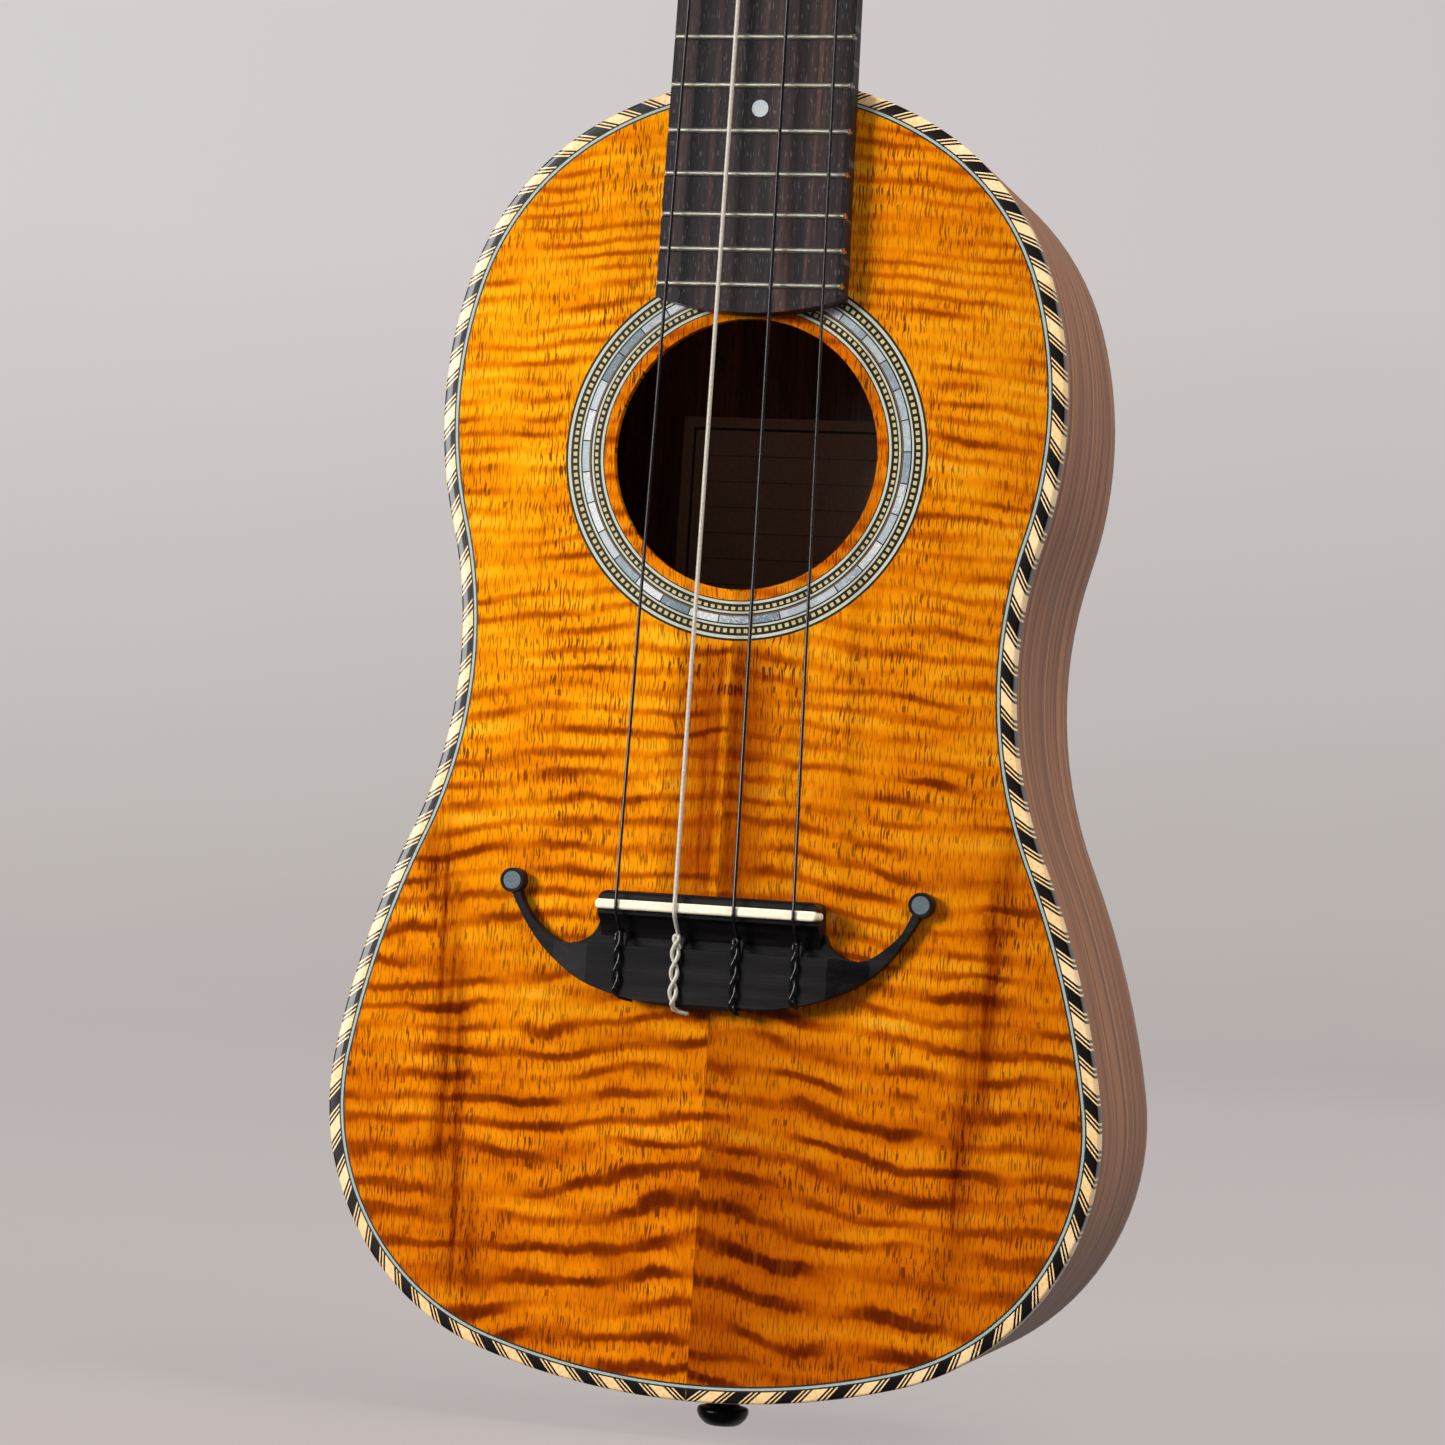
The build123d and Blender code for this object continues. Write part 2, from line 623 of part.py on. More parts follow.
def shaft_along_u(low, high, radius):
    """A cylinder on the worm's axis, which crosses the head beside the post."""
    return Pos((low + high) / 2, GEAR_CENTRES, WORM_W) * Rot(0, 90, 0) * Cylinder(radius, high - low)


def bushing():
    sleeve = disc(0, 0, -BUSHING_SLEEVE, VENEER_T, BUSHING_R)
    collar = disc(0, 0, VENEER_T, VENEER_T + COLLAR_T, COLLAR_R)
    collar = chamfer(collar.edges().group_by(Axis.Z)[-1], 0.4)
    return sleeve + collar - disc(0, 0, -20, 20, POST_R + RUNNING_GAP)


def tuner_plate():
    """Stamped plate with two ears that carry the worm's shaft."""
    top, low = -HEAD_T, -HEAD_T - PLATE_METAL_T
    blank = RectangleRounded(*PLATE_SIZE, PLATE_CORNER_R)
    plate = Pos(0, PLATE_CENTRE_V, low) * extrude(blank, PLATE_METAL_T)
    for side in (-1, 1):
        near, far = sorted((side * EAR_INNER, side * (EAR_INNER + EAR_T)))
        plate += box_between((near, GEAR_CENTRES - EAR_R, WORM_W), (far, GEAR_CENTRES + EAR_R, low + 0.5))
        plate += shaft_along_u(near, far, EAR_R)
    plate -= shaft_along_u(-20, 20, SHAFT_R + RUNNING_GAP)
    plate -= disc(0, 0, low - 1, top + 1, POST_R + RUNNING_GAP)
    for du, dv in SCREW_PLACES:
        plate -= disc(du, dv, low - 1, top + 1, SCREW_R + 0.1)
    return plate


def wood_screw():
    """Small round-head screw with a cross slot, driven up into the head."""
    seat = -HEAD_T - PLATE_METAL_T
    head = disc(0, 0, seat - 1.1, seat, 2.1)
    head = fillet(head.edges().group_by(Axis.Z)[0], 0.7)
    body = disc(0, 0, seat - 0.2, -HEAD_T + SCREW_LENGTH - 2, SCREW_R)
    tip = Pos(0, 0, -HEAD_T + SCREW_LENGTH - 1) * Cone(SCREW_R, 0.2, 2)
    cross = box_between((-1.3, -0.25, seat - 2), (1.3, 0.25, seat - 0.7))
    return head + body + tip - cross - Rot(0, 0, 90) * cross


def post_square():
    """Squared foot of a post, which drives its gear."""
    return RectangleRounded(3.8, 3.8, 0.4)


def string_post():
    """Post with a waist for the string, a cross hole, and a squared foot that carries the gear."""
    foot = WORM_W - GEAR_T / 2
    post = disc(0, 0, -HEAD_T - PLATE_METAL_T - 1, POST_TOP, POST_R)
    post = chamfer(post.edges().group_by(Axis.Z)[-1], 0.5)
    waist = disc(0, 0, COIL_W - 2.2, COIL_W + 2.2, 10) - disc(0, 0, COIL_W - 3, COIL_W + 3, WAIST_R)
    hole = Pos(0, 0, COIL_W + 3.6) * Rot(0, 90, 0) * Cylinder(0.8, 20)
    collar = disc(0, 0, WORM_W + GEAR_T / 2, -HEAD_T - PLATE_METAL_T - 0.15, 3.6)
    square = Pos(0, 0, foot - 0.01) * extrude(post_square(), GEAR_T + 0.5)
    rivet = disc(0, 0, foot - 0.9, foot, 2.8)
    rivet = chamfer(rivet.edges().group_by(Axis.Z)[0], 0.5)
    return post - waist - hole + collar + square + rivet


def tuner_gear():
    """Worm wheel. Its teeth are thinner than nominal, which leaves room for the worm's lead angle."""
    tip_r, root_r = GEAR_PITCH_R + 0.7, GEAR_PITCH_R - 0.95
    tooth = Polyline(
        (-0.72, root_r - 0.4), (-0.62, root_r), (-0.17, tip_r), (0.17, tip_r), (0.62, root_r),
        (0.72, root_r - 0.4), close=True,
    )
    plan = Circle(root_r)
    for index in range(GEAR_TEETH):
        plan += Rot(0, 0, index * 360 / GEAR_TEETH) * make_face(tooth)
    plan -= post_square()
    return Pos(0, 0, WORM_W - GEAR_T / 2) * extrude(plan, GEAR_T)


def thread_phase(length):
    """Turn of the worm that puts a gap between threads opposite the wheel's nearest tooth."""
    return 270 - 360 * (0.5 + length / (2 * WORM_PITCH))


def worm(side):
    """Right-hand worm on its shaft, which runs out to the button on the given side of the head."""
    length = 2 * WORM_HALF - 1.2
    helix = Helix(WORM_PITCH, length, WORM_PITCH_R)
    start = Plane(origin=helix @ 0, x_dir=(1, 0, 0), z_dir=helix % 0)
    outline = ((-1.05, -0.66), (-0.9, -0.62), (0.65, -0.15), (0.65, 0.15), (-0.9, 0.62), (-1.05, 0.66))
    thread = sweep(start * make_face(Polyline(*outline, close=True)), path=helix, is_frenet=True)
    turned_thread = Rot(0, 90, 0) * Rot(0, 0, thread_phase(length)) * Pos(0, 0, -length / 2) * thread
    piece = Pos(0, GEAR_CENTRES, WORM_W) * turned_thread + shaft_along_u(-WORM_HALF, WORM_HALF, WORM_ROOT_R)
    inner, outer = -side * (WORM_HALF + EAR_T + 0.9), side * SHAFT_END
    return piece + shaft_along_u(min(inner, outer), max(inner, outer), SHAFT_R)


def tuner_knob(side):
    """Oval button pressed on the end of the worm's shaft."""
    blank = fillet(extrude(Ellipse(KNOB_HALF_LENGTH, KNOB_HALF_WIDTH), KNOB_HALF_T, both=True).edges(), 2.4)
    centre = side * (KNOB_INNER + KNOB_HALF_LENGTH)
    neck_low, neck_high = sorted((side * (KNOB_INNER - 1.6), side * (KNOB_INNER + 2)))
    bore_low, bore_high = sorted((side * (KNOB_INNER - 3), side * SHAFT_END))
    piece = Pos(centre, GEAR_CENTRES, WORM_W) * blank + shaft_along_u(neck_low, neck_high, 2.7)
    return piece - shaft_along_u(bore_low, bore_high, SHAFT_R)


def string_coil(radius):
    """Three turns of string round the waist of a post."""
    turns = [Pos(0, 0, COIL_W + step * 1.9 * radius) * Torus(WAIST_R + radius, radius) for step in (-1, 0, 1)]
    sleeve = disc(0, 0, COIL_W - 1.9 * radius, COIL_W + 1.9 * radius, WAIST_R + radius)
    return sleeve + turns - disc(0, 0, COIL_W - 5, COIL_W + 5, WAIST_R)


# --- strings -----------------------------------------------------------------------------------------
def rod(start, end, radius):
    start, end = Vector(start), Vector(end)
    return Solid.make_cylinder(radius, (end - start).length, Plane(origin=start, z_dir=end - start))


def tie_edge(x):
    """Tail edge of the tie block at a place across the bridge."""
    return TIE_BLOCK_Y[0] + 4.6 * (x / TIE_BLOCK_HALF_WIDTH) ** 2


def string_run(saddle_x, nut_x, radius, post_place):
    """The still part of a string: its loop round the tie block, then saddle, nut and the run to the post."""
    tail = tie_edge(saddle_x)
    over, through = TOP + TIE_BLOCK_HEIGHT + radius + 0.1, TOP + TIE_HOLE_HEIGHT
    post_u, post_v = post_place
    reach = WAIST_R + 3 * radius + COIL_GAP
    end = HEAD_PLANE.from_local_coords(Vector(post_u - math.copysign(reach, post_u), post_v, COIL_W))
    points = [
        (saddle_x, TIE_LOOP_Y, over),
        (saddle_x, tail - 0.7, over),
        (saddle_x, tail - 1.6, (over + through) / 2),
        (saddle_x, tail - 1.3, through),
        (saddle_x, 105.2, through),
        (saddle_x, SADDLE_SLOT_Y[0] - 0.4, TOP + SADDLE_TOP),
        (saddle_x, SADDLE_SLOT_Y[1], TOP + SADDLE_TOP),
        (nut_x, NUT_Y, TOP + NUT_TOP),
        (nut_x, HEAD_Y + 0.4, TOP + NUT_TOP),
        tuple(end),
    ]
    run = Sphere(radius).moved(Location(points[0]))
    for start, finish in zip(points, points[1:]):
        run += rod(start, finish, radius)
        run += Sphere(radius).moved(Location(finish))
    return run


# --- writing the files ----------------------------------------------------------------------------------
def body_pieces():
    left, right = sides()
    return {
        "soundboard": soundboard(),
        "back_plate": body_slab(0, BACK, BACK_INNER),
        "side_left": left,
        "side_right": right,
        "neck_block": neck_block(),
        "tail_block": tail_block(),
        "top_linings": top_linings(),
        "back_linings": back_linings(),
        "soundhole_braces": soundhole_braces(),
        "back_braces": back_braces(),
        "bridge_patch": bridge_patch(),
        "fan_braces": fan_braces(),
        "rope_bindings": rope_bindings(),
        "purfling": purfling(),
        "rosette_inner": rosette_ring(ROSETTE_RADII[0], ROSETTE_RADII[1]),
        "rosette_pearl": rosette_ring(ROSETTE_RADII[1], ROSETTE_RADII[2]),
        "rosette_outer": rosette_ring(ROSETTE_RADII[2], ROSETTE_RADII[3]),
        "label": label(),
        "bridge": bridge(),
        "bridge_dots": bridge_dots(),
        "saddle": saddle(),
        "strap_button": strap_button(),
        "strap_button_screw": strap_button_screw(),
    }


def neck_pieces():
    return {
        "neck": neck(),
        "heel_cap": heel_cap(),
        "neck_insert": neck_insert(),
        "neck_bolt": neck_bolt(),
        "fretboard": fretboard(),
        "frets": frets(),
        "position_dots": position_dots(),
        "nut": nut(),
        "head_veneer": head_veneer(),
    }


def tuner_pieces():
    plates, bushings, screws, pieces = [], [], [], {}
    for (name, saddle_x, nut_x, radius), (u, v) in zip(STRINGS, TUNER_PLACES):
        side = math.copysign(1, u)
        plates.append(on_head(u, v, tuner_plate()).solid())
        bushings.append(on_head(u, v, bushing()).solid())
        screws += [on_head(u + du, v + dv, wood_screw()).solid() for du, dv in SCREW_PLACES]
        pieces[f"worm_{name}"] = on_head(u, v, worm(side))
        pieces[f"tuner_knob_{name}"] = on_head(u, v, tuner_knob(side))
        pieces[f"string_post_{name}"] = on_head(u, v, string_post())
        pieces[f"tuner_gear_{name}"] = on_head(u, v, tuner_gear())
        pieces[f"string_coil_{name}"] = on_head(u, v, string_coil(radius))
        pieces[f"string_{name}"] = string_run(saddle_x, nut_x, radius, (u, v))
    pieces["tuner_plates"] = Compound(children=plates)
    pieces["tuner_bushings"] = Compound(children=bushings)
    pieces["tuner_screws"] = Compound(children=screws)
    return pieces


def main():
    os.makedirs("parts", exist_ok=True)
    for pieces in (body_pieces(), neck_pieces(), tuner_pieces()):
        for node, piece in pieces.items():
            save(node, piece)


main()
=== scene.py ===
import math

import bmesh
import bpy
import numpy as np
from mathutils import Matrix, Vector


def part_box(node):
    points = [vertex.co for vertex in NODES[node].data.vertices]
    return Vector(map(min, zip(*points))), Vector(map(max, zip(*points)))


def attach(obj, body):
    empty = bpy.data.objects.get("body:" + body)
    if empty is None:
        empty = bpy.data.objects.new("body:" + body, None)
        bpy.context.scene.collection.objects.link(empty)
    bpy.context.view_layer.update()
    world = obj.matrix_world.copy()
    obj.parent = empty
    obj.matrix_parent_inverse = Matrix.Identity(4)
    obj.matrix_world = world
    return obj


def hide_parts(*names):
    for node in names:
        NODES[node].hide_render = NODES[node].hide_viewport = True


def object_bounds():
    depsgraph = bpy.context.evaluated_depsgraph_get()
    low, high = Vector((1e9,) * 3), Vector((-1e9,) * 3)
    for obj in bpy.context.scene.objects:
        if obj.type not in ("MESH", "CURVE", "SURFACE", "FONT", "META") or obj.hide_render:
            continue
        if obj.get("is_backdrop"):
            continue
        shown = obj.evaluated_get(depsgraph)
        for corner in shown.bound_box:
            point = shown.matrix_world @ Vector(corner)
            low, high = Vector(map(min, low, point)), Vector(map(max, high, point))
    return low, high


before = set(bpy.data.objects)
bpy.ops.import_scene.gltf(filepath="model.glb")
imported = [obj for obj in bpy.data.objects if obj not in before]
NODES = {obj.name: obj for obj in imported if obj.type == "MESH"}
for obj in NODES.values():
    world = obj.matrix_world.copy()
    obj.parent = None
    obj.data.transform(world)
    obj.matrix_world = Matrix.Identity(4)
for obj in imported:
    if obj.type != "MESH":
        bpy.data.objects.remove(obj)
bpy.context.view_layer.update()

ROOT = "instrument"
MM = 0.001

# Right half of the body's outline from the tail: radius in mm and turn in degrees of tangent arcs.
BODY_ARCS = ((172.6, 16.8), (60.9, 82.5), (222.0, 14.5), (108.2, -39.8), (103.9, 33.4), (65.5, 41.0))
STEP_MM = 0.4


def mm(value):
    return value * MM


# --- places worked out from the frame -------------------------------------------------------------
BOARD_LOW, BOARD_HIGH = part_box("soundboard")
TOP_Y = BOARD_LOW.y
ROSETTE_LOW, ROSETTE_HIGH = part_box("rosette_outer")
HOLE_Z = (ROSETTE_LOW.z + ROSETTE_HIGH.z) / 2
ROPE_LOW, ROPE_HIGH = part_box("rope_bindings")
ROPE_DEPTH = ROPE_HIGH.y - ROPE_LOW.y
ROPE_WIDTH = ROPE_HIGH.x - BOARD_HIGH.x
INLAY_DEPTH = ROSETTE_HIGH.y - ROSETTE_LOW.y


# --- shader graphs --------------------------------------------------------------------------------
class Graph:
    """A small helper to write a material's node graph as expressions."""

    def __init__(self, name):
        self.material = bpy.data.materials.new(name)
        self.material.use_nodes = True
        self.tree = self.material.node_tree
        self.tree.nodes.clear()
        self.out = self.tree.nodes.new("ShaderNodeOutputMaterial")
        self.bsdf = self.tree.nodes.new("ShaderNodeBsdfPrincipled")
        self.tree.links.new(self.bsdf.outputs[0], self.out.inputs["Surface"])
        coords = self.tree.nodes.new("ShaderNodeTexCoord").outputs["Object"]
        scaled = self.node("ShaderNodeVectorMath", {"operation": "SCALE"}, {0: coords, "Scale": 1 / MM})
        split = self.node("ShaderNodeSeparateXYZ", {}, {0: scaled.outputs[0]})
        self.x, self.y, self.z = split.outputs

    def node(self, kind, settings, inputs):
        made = self.tree.nodes.new(kind)
        for key, value in settings.items():
            setattr(made, key, value)
        for key, value in inputs.items():
            self.put(made.inputs[key], value)
        return made

    def put(self, socket, value):
        if isinstance(value, bpy.types.NodeSocket):
            self.tree.links.new(value, socket)
        else:
            socket.default_value = value

    def math(self, operation, *values):
        return self.node("ShaderNodeMath", {"operation": operation}, dict(enumerate(values))).outputs[0]

    def fade(self, value, low, high):
        """1 below low, 0 above high."""
        return self.math("SUBTRACT", 1.0, self.step(value, low, high))

    def swing(self, noise, size):
        """Noise moved to swing about zero, by at most half of size."""
        return self.mul(self.add(noise, -0.5), size)

    def add(self, a, b):
        return self.math("ADD", a, b)

    def mul(self, a, b):
        return self.math("MULTIPLY", a, b)

    def vector(self, x, y, z):
        return self.node("ShaderNodeCombineXYZ", {}, {0: x, 1: y, 2: z}).outputs[0]

    def stretched(self, x, y, z, mirror=False):
        """The place in mm, with each axis multiplied by its own frequency."""
        across = self.math("ABSOLUTE", self.x) if mirror else self.x
        return self.vector(self.mul(across, x), self.mul(self.y, y), self.mul(self.z, z))

    def noise(self, vector, detail=2.0, rough=0.5, warp=0.0):
        inputs = {"Vector": vector, "Scale": 1.0, "Detail": detail, "Roughness": rough, "Distortion": warp}
        return self.node("ShaderNodeTexNoise", {}, inputs).outputs[0]

    def ramp(self, value, stops):
        made = self.node("ShaderNodeValToRGB", {}, {0: value})
        band = made.color_ramp
        while len(band.elements) < len(stops):
            band.elements.new(0.5)
        for element, (at, colour) in zip(band.elements, stops):
            element.position = at
            element.color = rgba(colour)
        return made.outputs[0]

    def step(self, value, low, high):
        """0 below low, 1 above high."""
        inputs = {"Value": value, "From Min": low, "From Max": high, "To Min": 0.0, "To Max": 1.0}
        return self.node("ShaderNodeMapRange", {"interpolation_type": "SMOOTHSTEP"}, inputs).outputs[0]

    def mix(self, share, a, b, blend="MIX"):
        made = self.node("ShaderNodeMix", {"data_type": "RGBA", "blend_type": blend}, {})
        self.put(made.inputs[0], share)
        self.put(made.inputs[6], rgba(a))
        self.put(made.inputs[7], rgba(b))
        return made.outputs[2]

    def dimmed(self, colour, share):
        """The colour, with only this share of its light left."""
        return self.mix(1.0 - share, colour, (0.0, 0.0, 0.0))

    def bump(self, height, distance_mm, strength=1.0, edge_mm=0.0):
        inputs = {"Height": height, "Distance": distance_mm * MM, "Strength": strength}
        if edge_mm:
            worn = self.node("ShaderNodeBevel", {"samples": 4}, {"Radius": edge_mm * MM})
            inputs["Normal"] = worn.outputs[0]
        return self.node("ShaderNodeBump", {}, inputs).outputs[0]

    def finish(self, **inputs):
        for key, value in inputs.items():
            name = key.replace("_", " ")
            if name == "Base Color":
                value = rgba(value)
            self.put(self.bsdf.inputs[name], value)
        return self.material


def rgba(value):
    if isinstance(value, tuple) and len(value) == 3:
        return (*value, 1.0)
    return value


def srgb(r, g, b):
    """A colour given as it looks on a screen, 0 to 255, as linear light."""
    return tuple((c / 255 / 12.92) if c <= 10 else ((c / 255 + 0.055) / 1.055) ** 2.4 for c in (r, g, b))


# --- wood -----------------------------------------------------------------------------------------
def koa(name, centre_z):
    """Bookmatched flamed koa under gloss: curl bands across the grain, pores and dark streaks along it."""
    g = Graph(name)
    across = g.math("ABSOLUTE", g.x)
    right = g.step(g.x, -0.05, 0.05)
    low = g.fade(g.z, centre_z - 150.0, centre_z + 90.0)
    # The curls are about 8 mm apart at the tail, and get closer towards the neck.
    waves = g.mul(g.add(g.z, g.mul(across, 0.12)), g.add(0.118, g.mul(g.z, 0.00026)))
    jitter = g.noise(g.vector(g.mul(across, 0.016), right, g.mul(g.z, 0.028)), detail=2.0, rough=0.4)
    ripple = g.noise(g.vector(g.mul(across, 0.07), 3.0, g.mul(g.z, 0.12)), detail=1.0)
    fuzz = g.noise(g.vector(g.mul(across, 0.95), 7.0, g.mul(g.z, 0.05)), detail=1.0)
    bends = g.add(g.mul(jitter, 2.9), g.add(g.mul(ripple, 0.75), g.mul(fuzz, 0.26)))
    curl = g.math("SINE", g.mul(g.add(waves, bends), 2 * math.pi))
    trough = g.fade(curl, -1.0, 0.25)
    fades = g.noise(g.vector(g.mul(across, 0.045), g.add(5.0, right), g.mul(g.z, 0.075)), detail=1.5)
    force = g.mul(g.add(0.66, g.mul(low, 0.36)), g.add(0.25, g.mul(g.step(fades, 0.36, 0.62), 0.85)))
    broad = g.noise(g.vector(g.mul(across, 0.035), 0.0, g.mul(g.z, 0.14)), detail=2.0, rough=0.5)
    # Towards the tail the level drops: painted shade where the light falls off down the body, with the wood's
    # own browner tone there.
    level = g.add(g.add(0.735, g.mul(low, -0.12)), g.swing(broad, 0.66))
    flame = g.add(level, g.add(g.mul(g.mul(curl, force), 0.08), g.mul(g.mul(trough, force), -0.24)))
    # The two palest stops give pale yellow crests: partly the curls' own figure, partly a painted highlight
    # of the gloss.
    colour = g.ramp(flame, [
        (0.26, srgb(102, 38, 1)), (0.40, srgb(150, 66, 2)), (0.53, srgb(208, 110, 3)),
        (0.66, srgb(236, 140, 4)), (0.80, srgb(250, 167, 14)), (0.95, srgb(253, 190, 44)),
    ])
    # Darker and browner towards the tail: painted shade where the light falls off down the body, with the
    # wood's own browner tone there.
    tail = g.fade(g.z, centre_z - 118.0, centre_z + 10.0)
    colour = g.mix(low, colour, (0.82, 0.66, 0.7), "MULTIPLY")
    # Painted shade: the right half's lower part, within about 60 mm of the seam, is painted darker.
    painted_shade_beside_seam = g.mul(g.mul(right, tail), g.fade(across, 4.0, 62.0))
    colour = g.mix(painted_shade_beside_seam, colour, (0.58, 0.46, 0.56), "MULTIPLY")
    # Painted shade: the right half, seen against its curl, is painted darker above the lower bout, and darker
    # again towards its edge.
    above = g.step(g.z, centre_z - 65.0, centre_z + 10.0)
    colour = g.mix(g.mul(right, above), colour, (0.86, 0.80, 0.9), "MULTIPLY")
    colour = g.mix(g.mul(right, g.step(across, 22.0, 84.0)), colour, (0.82, 0.78, 0.9), "MULTIPLY")
    return finish_koa(g, colour, across, centre_z, curl)


def pore_dashes(g, across, width, length, seed, share):
    """Short dark dashes along the grain. width and length are in cells per mm."""
    cells = g.noise(g.vector(g.mul(across, width), seed, g.mul(g.z, length)), detail=0.0)
    return g.step(cells, share, share + 0.05)


def finish_koa(g, colour, across, centre_z, curl):
    lean = g.mul(g.noise(g.stretched(0.02, 0, 0.02, True), detail=1.0), 1.5)
    leaning = g.add(g.add(across, lean), g.mul(curl, 0.09))
    grain = g.noise(g.vector(g.mul(leaning, 0.55), 0.0, g.mul(g.z, 0.012)), detail=3.0, rough=0.6)
    colour = g.mix(g.mul(g.step(grain, 0.50, 0.72), 0.34), colour, srgb(168, 78, 2))
    area = g.noise(g.stretched(0.022, 0, 0.009, True), detail=2.0)
    colour = g.mix(g.mul(g.step(area, 0.52, 0.74), 0.35), colour, srgb(182, 84, 2))
    crowd = g.noise(g.stretched(0.06, 0, 0.05, True), detail=2.0)
    long_pores = pore_dashes(g, leaning, 2.5, 0.22, 2.0, 0.61)
    short_pores = pore_dashes(g, leaning, 3.1, 0.34, 9.0, 0.62)
    pore = g.math("MAXIMUM", long_pores, short_pores)
    pore = g.mul(pore, g.add(0.42, g.mul(g.step(crowd, 0.38, 0.62), 0.48)))
    colour = g.mix(pore, colour, srgb(104, 40, 1))
    colour = dark_streaks(g, colour, across, centre_z)
    # Painted shade: within 34 mm of the soundhole's centre, the ring inside the rosette and the hole's wall
    # are painted darker and browner.
    up = g.add(g.z, -HOLE_Z / MM)
    from_hole = g.math("SQRT", g.add(g.mul(g.x, g.x), g.mul(up, up)))
    colour = g.mix(g.fade(from_hole, 34.0, 36.0), colour, (0.80, 0.62, 0.7), "MULTIPLY")
    seam = g.fade(across, 0.10, 0.32)
    colour = g.mix(g.mul(seam, 0.35), colour, srgb(80, 30, 2))
    height = g.add(g.mul(pore, -1.0), g.mul(grain, 0.1))
    return g.finish(
        Base_Color=colour, Roughness=g.add(0.34, g.mul(grain, 0.12)), Normal=g.bump(height, 0.02, 0.2),
        Coat_Weight=1.0, Coat_Roughness=0.03, Coat_IOR=1.5, Specular_IOR_Level=0.0,
    )


def dark_streaks(g, colour, across, centre_z):
    """Reddish heart streaks: a fan below the soundhole on the seam, one down each side of the lower bout."""
    wobble = g.swing(g.noise(g.stretched(0.05, 0, 0.03), detail=2.0), 10.0)
    height = g.add(g.z, -centre_z)
    threads = g.noise(g.vector(g.mul(g.x, 0.34), 0.0, g.mul(g.z, 0.012)), detail=3.0, rough=0.55)
    from_fan = g.math("ABSOLUTE", g.add(g.add(g.x, 0.8), g.mul(wobble, 0.4)))
    inner = g.add(0.5, g.mul(g.step(from_fan, 0.2, 1.8), 0.5))
    fan = g.mul(inner, g.fade(from_fan, 5.0, 16.0))
    seam = g.mul(fan, g.mul(g.step(height, -45.0, -18.0), g.fade(height, 26.0, 42.0)))
    side_x = g.add(62.0, g.mul(g.add(g.z, -60.0), 0.10))
    from_side = g.math("ABSOLUTE", g.add(g.add(across, wobble), g.mul(side_x, -1.0)))
    side = g.mul(
        g.fade(from_side, 0.5, 7.0),
        g.mul(g.step(g.z, 10.0, 34.0), g.fade(g.z, 112.0, 150.0)),
    )
    seam_shade = g.mul(seam, g.add(0.74, g.mul(g.step(threads, 0.36, 0.6), 0.26)))
    side_shade = g.mul(side, g.add(0.42, g.mul(g.step(threads, 0.40, 0.58), 0.58)))
    return g.mix(g.math("MAXIMUM", seam_shade, side_shade), colour, (0.38, 0.20, 0.3), "MULTIPLY")


def side_wood(name):
    """Satin rosewood bent round the body: its figure runs along the outline, at a steady depth."""
    g = Graph(name)
    sway = g.swing(g.noise(g.stretched(0.012, 0, 0.012), detail=1.0), 9.0)
    depth = g.add(g.y, sway)
    streaks = g.noise(g.vector(g.mul(g.x, 0.01), g.mul(depth, 0.42), g.mul(g.z, 0.01)), detail=4.0, rough=0.6)
    colour = g.ramp(streaks, [
        (0.28, srgb(86, 55, 38)), (0.43, srgb(118, 75, 50)),
        (0.55, srgb(141, 92, 61)), (0.72, srgb(165, 114, 78)),
    ])
    dark = g.fade(g.math("ABSOLUTE", g.add(depth, -1.5)), 0.6, 3.4)
    colour = g.mix(g.mul(dark, 0.55), colour, srgb(88, 60, 52))
    light = g.fade(g.math("ABSOLUTE", g.add(depth, -4.6)), 0.15, 0.5)
    colour = g.mix(g.mul(light, 0.6), colour, srgb(196, 146, 112))
    fibres = g.noise(g.vector(g.mul(g.x, 0.06), g.mul(g.y, 3.0), g.mul(g.z, 0.06)), detail=3.0)
    colour = g.mix(g.mul(g.step(fibres, 0.55, 0.8), 0.4), colour, srgb(86, 52, 40))
    return g.finish(
        Base_Color=colour, Roughness=g.add(0.34, g.mul(fibres, 0.16)), Normal=g.bump(fibres, 0.03, 0.3),
        Coat_Weight=0.1, Coat_Roughness=0.3, Specular_IOR_Level=0.3,
    )


def long_wood(name, dark, mid, light, rough=0.4, coat=0.2, mirror=False, pitch=1.0, edge_mm=0.0,
              axis="z", shine=0.5):
    """Straight-grained wood, with its grain along the neck or, for axis x, across it."""
    g = Graph(name)
    across, along = 0.16 / pitch, 0.006 / pitch
    if axis == "z":
        rings = g.stretched(across, across, along, mirror)
        fine = g.stretched(1.4 / pitch, 1.4 / pitch, 0.05 / pitch)
        pore_place = g.stretched(2.6 / pitch, 2.6 / pitch, 0.22 / pitch)
    else:
        rings = g.stretched(along, across, across)
        fine = g.stretched(0.05 / pitch, 1.4 / pitch, 1.4 / pitch)
        pore_place = g.stretched(0.22 / pitch, 2.6 / pitch, 2.6 / pitch)
    figure = g.noise(rings, detail=4.0, rough=0.62, warp=0.25)
    fibres = g.noise(fine, detail=3.0, rough=0.6)
    grain = g.add(g.mul(figure, 0.75), g.mul(fibres, 0.25))
    colour = g.ramp(grain, [(0.34, dark), (0.5, mid), (0.68, light)])
    pore = g.step(g.noise(pore_place, detail=1.0), 0.63, 0.70)
    colour = g.mix(g.mul(pore, 0.6), colour, tuple(c * 0.35 for c in dark))
    height = g.add(g.mul(pore, -0.8), g.mul(fibres, 0.4))
    return g.finish(
        Base_Color=colour, Roughness=g.add(rough, g.swing(fibres, 0.25)),
        Normal=g.bump(height, 0.04, 0.35, edge_mm), Coat_Weight=coat, Coat_Roughness=0.18,
        Specular_IOR_Level=shine,
    )


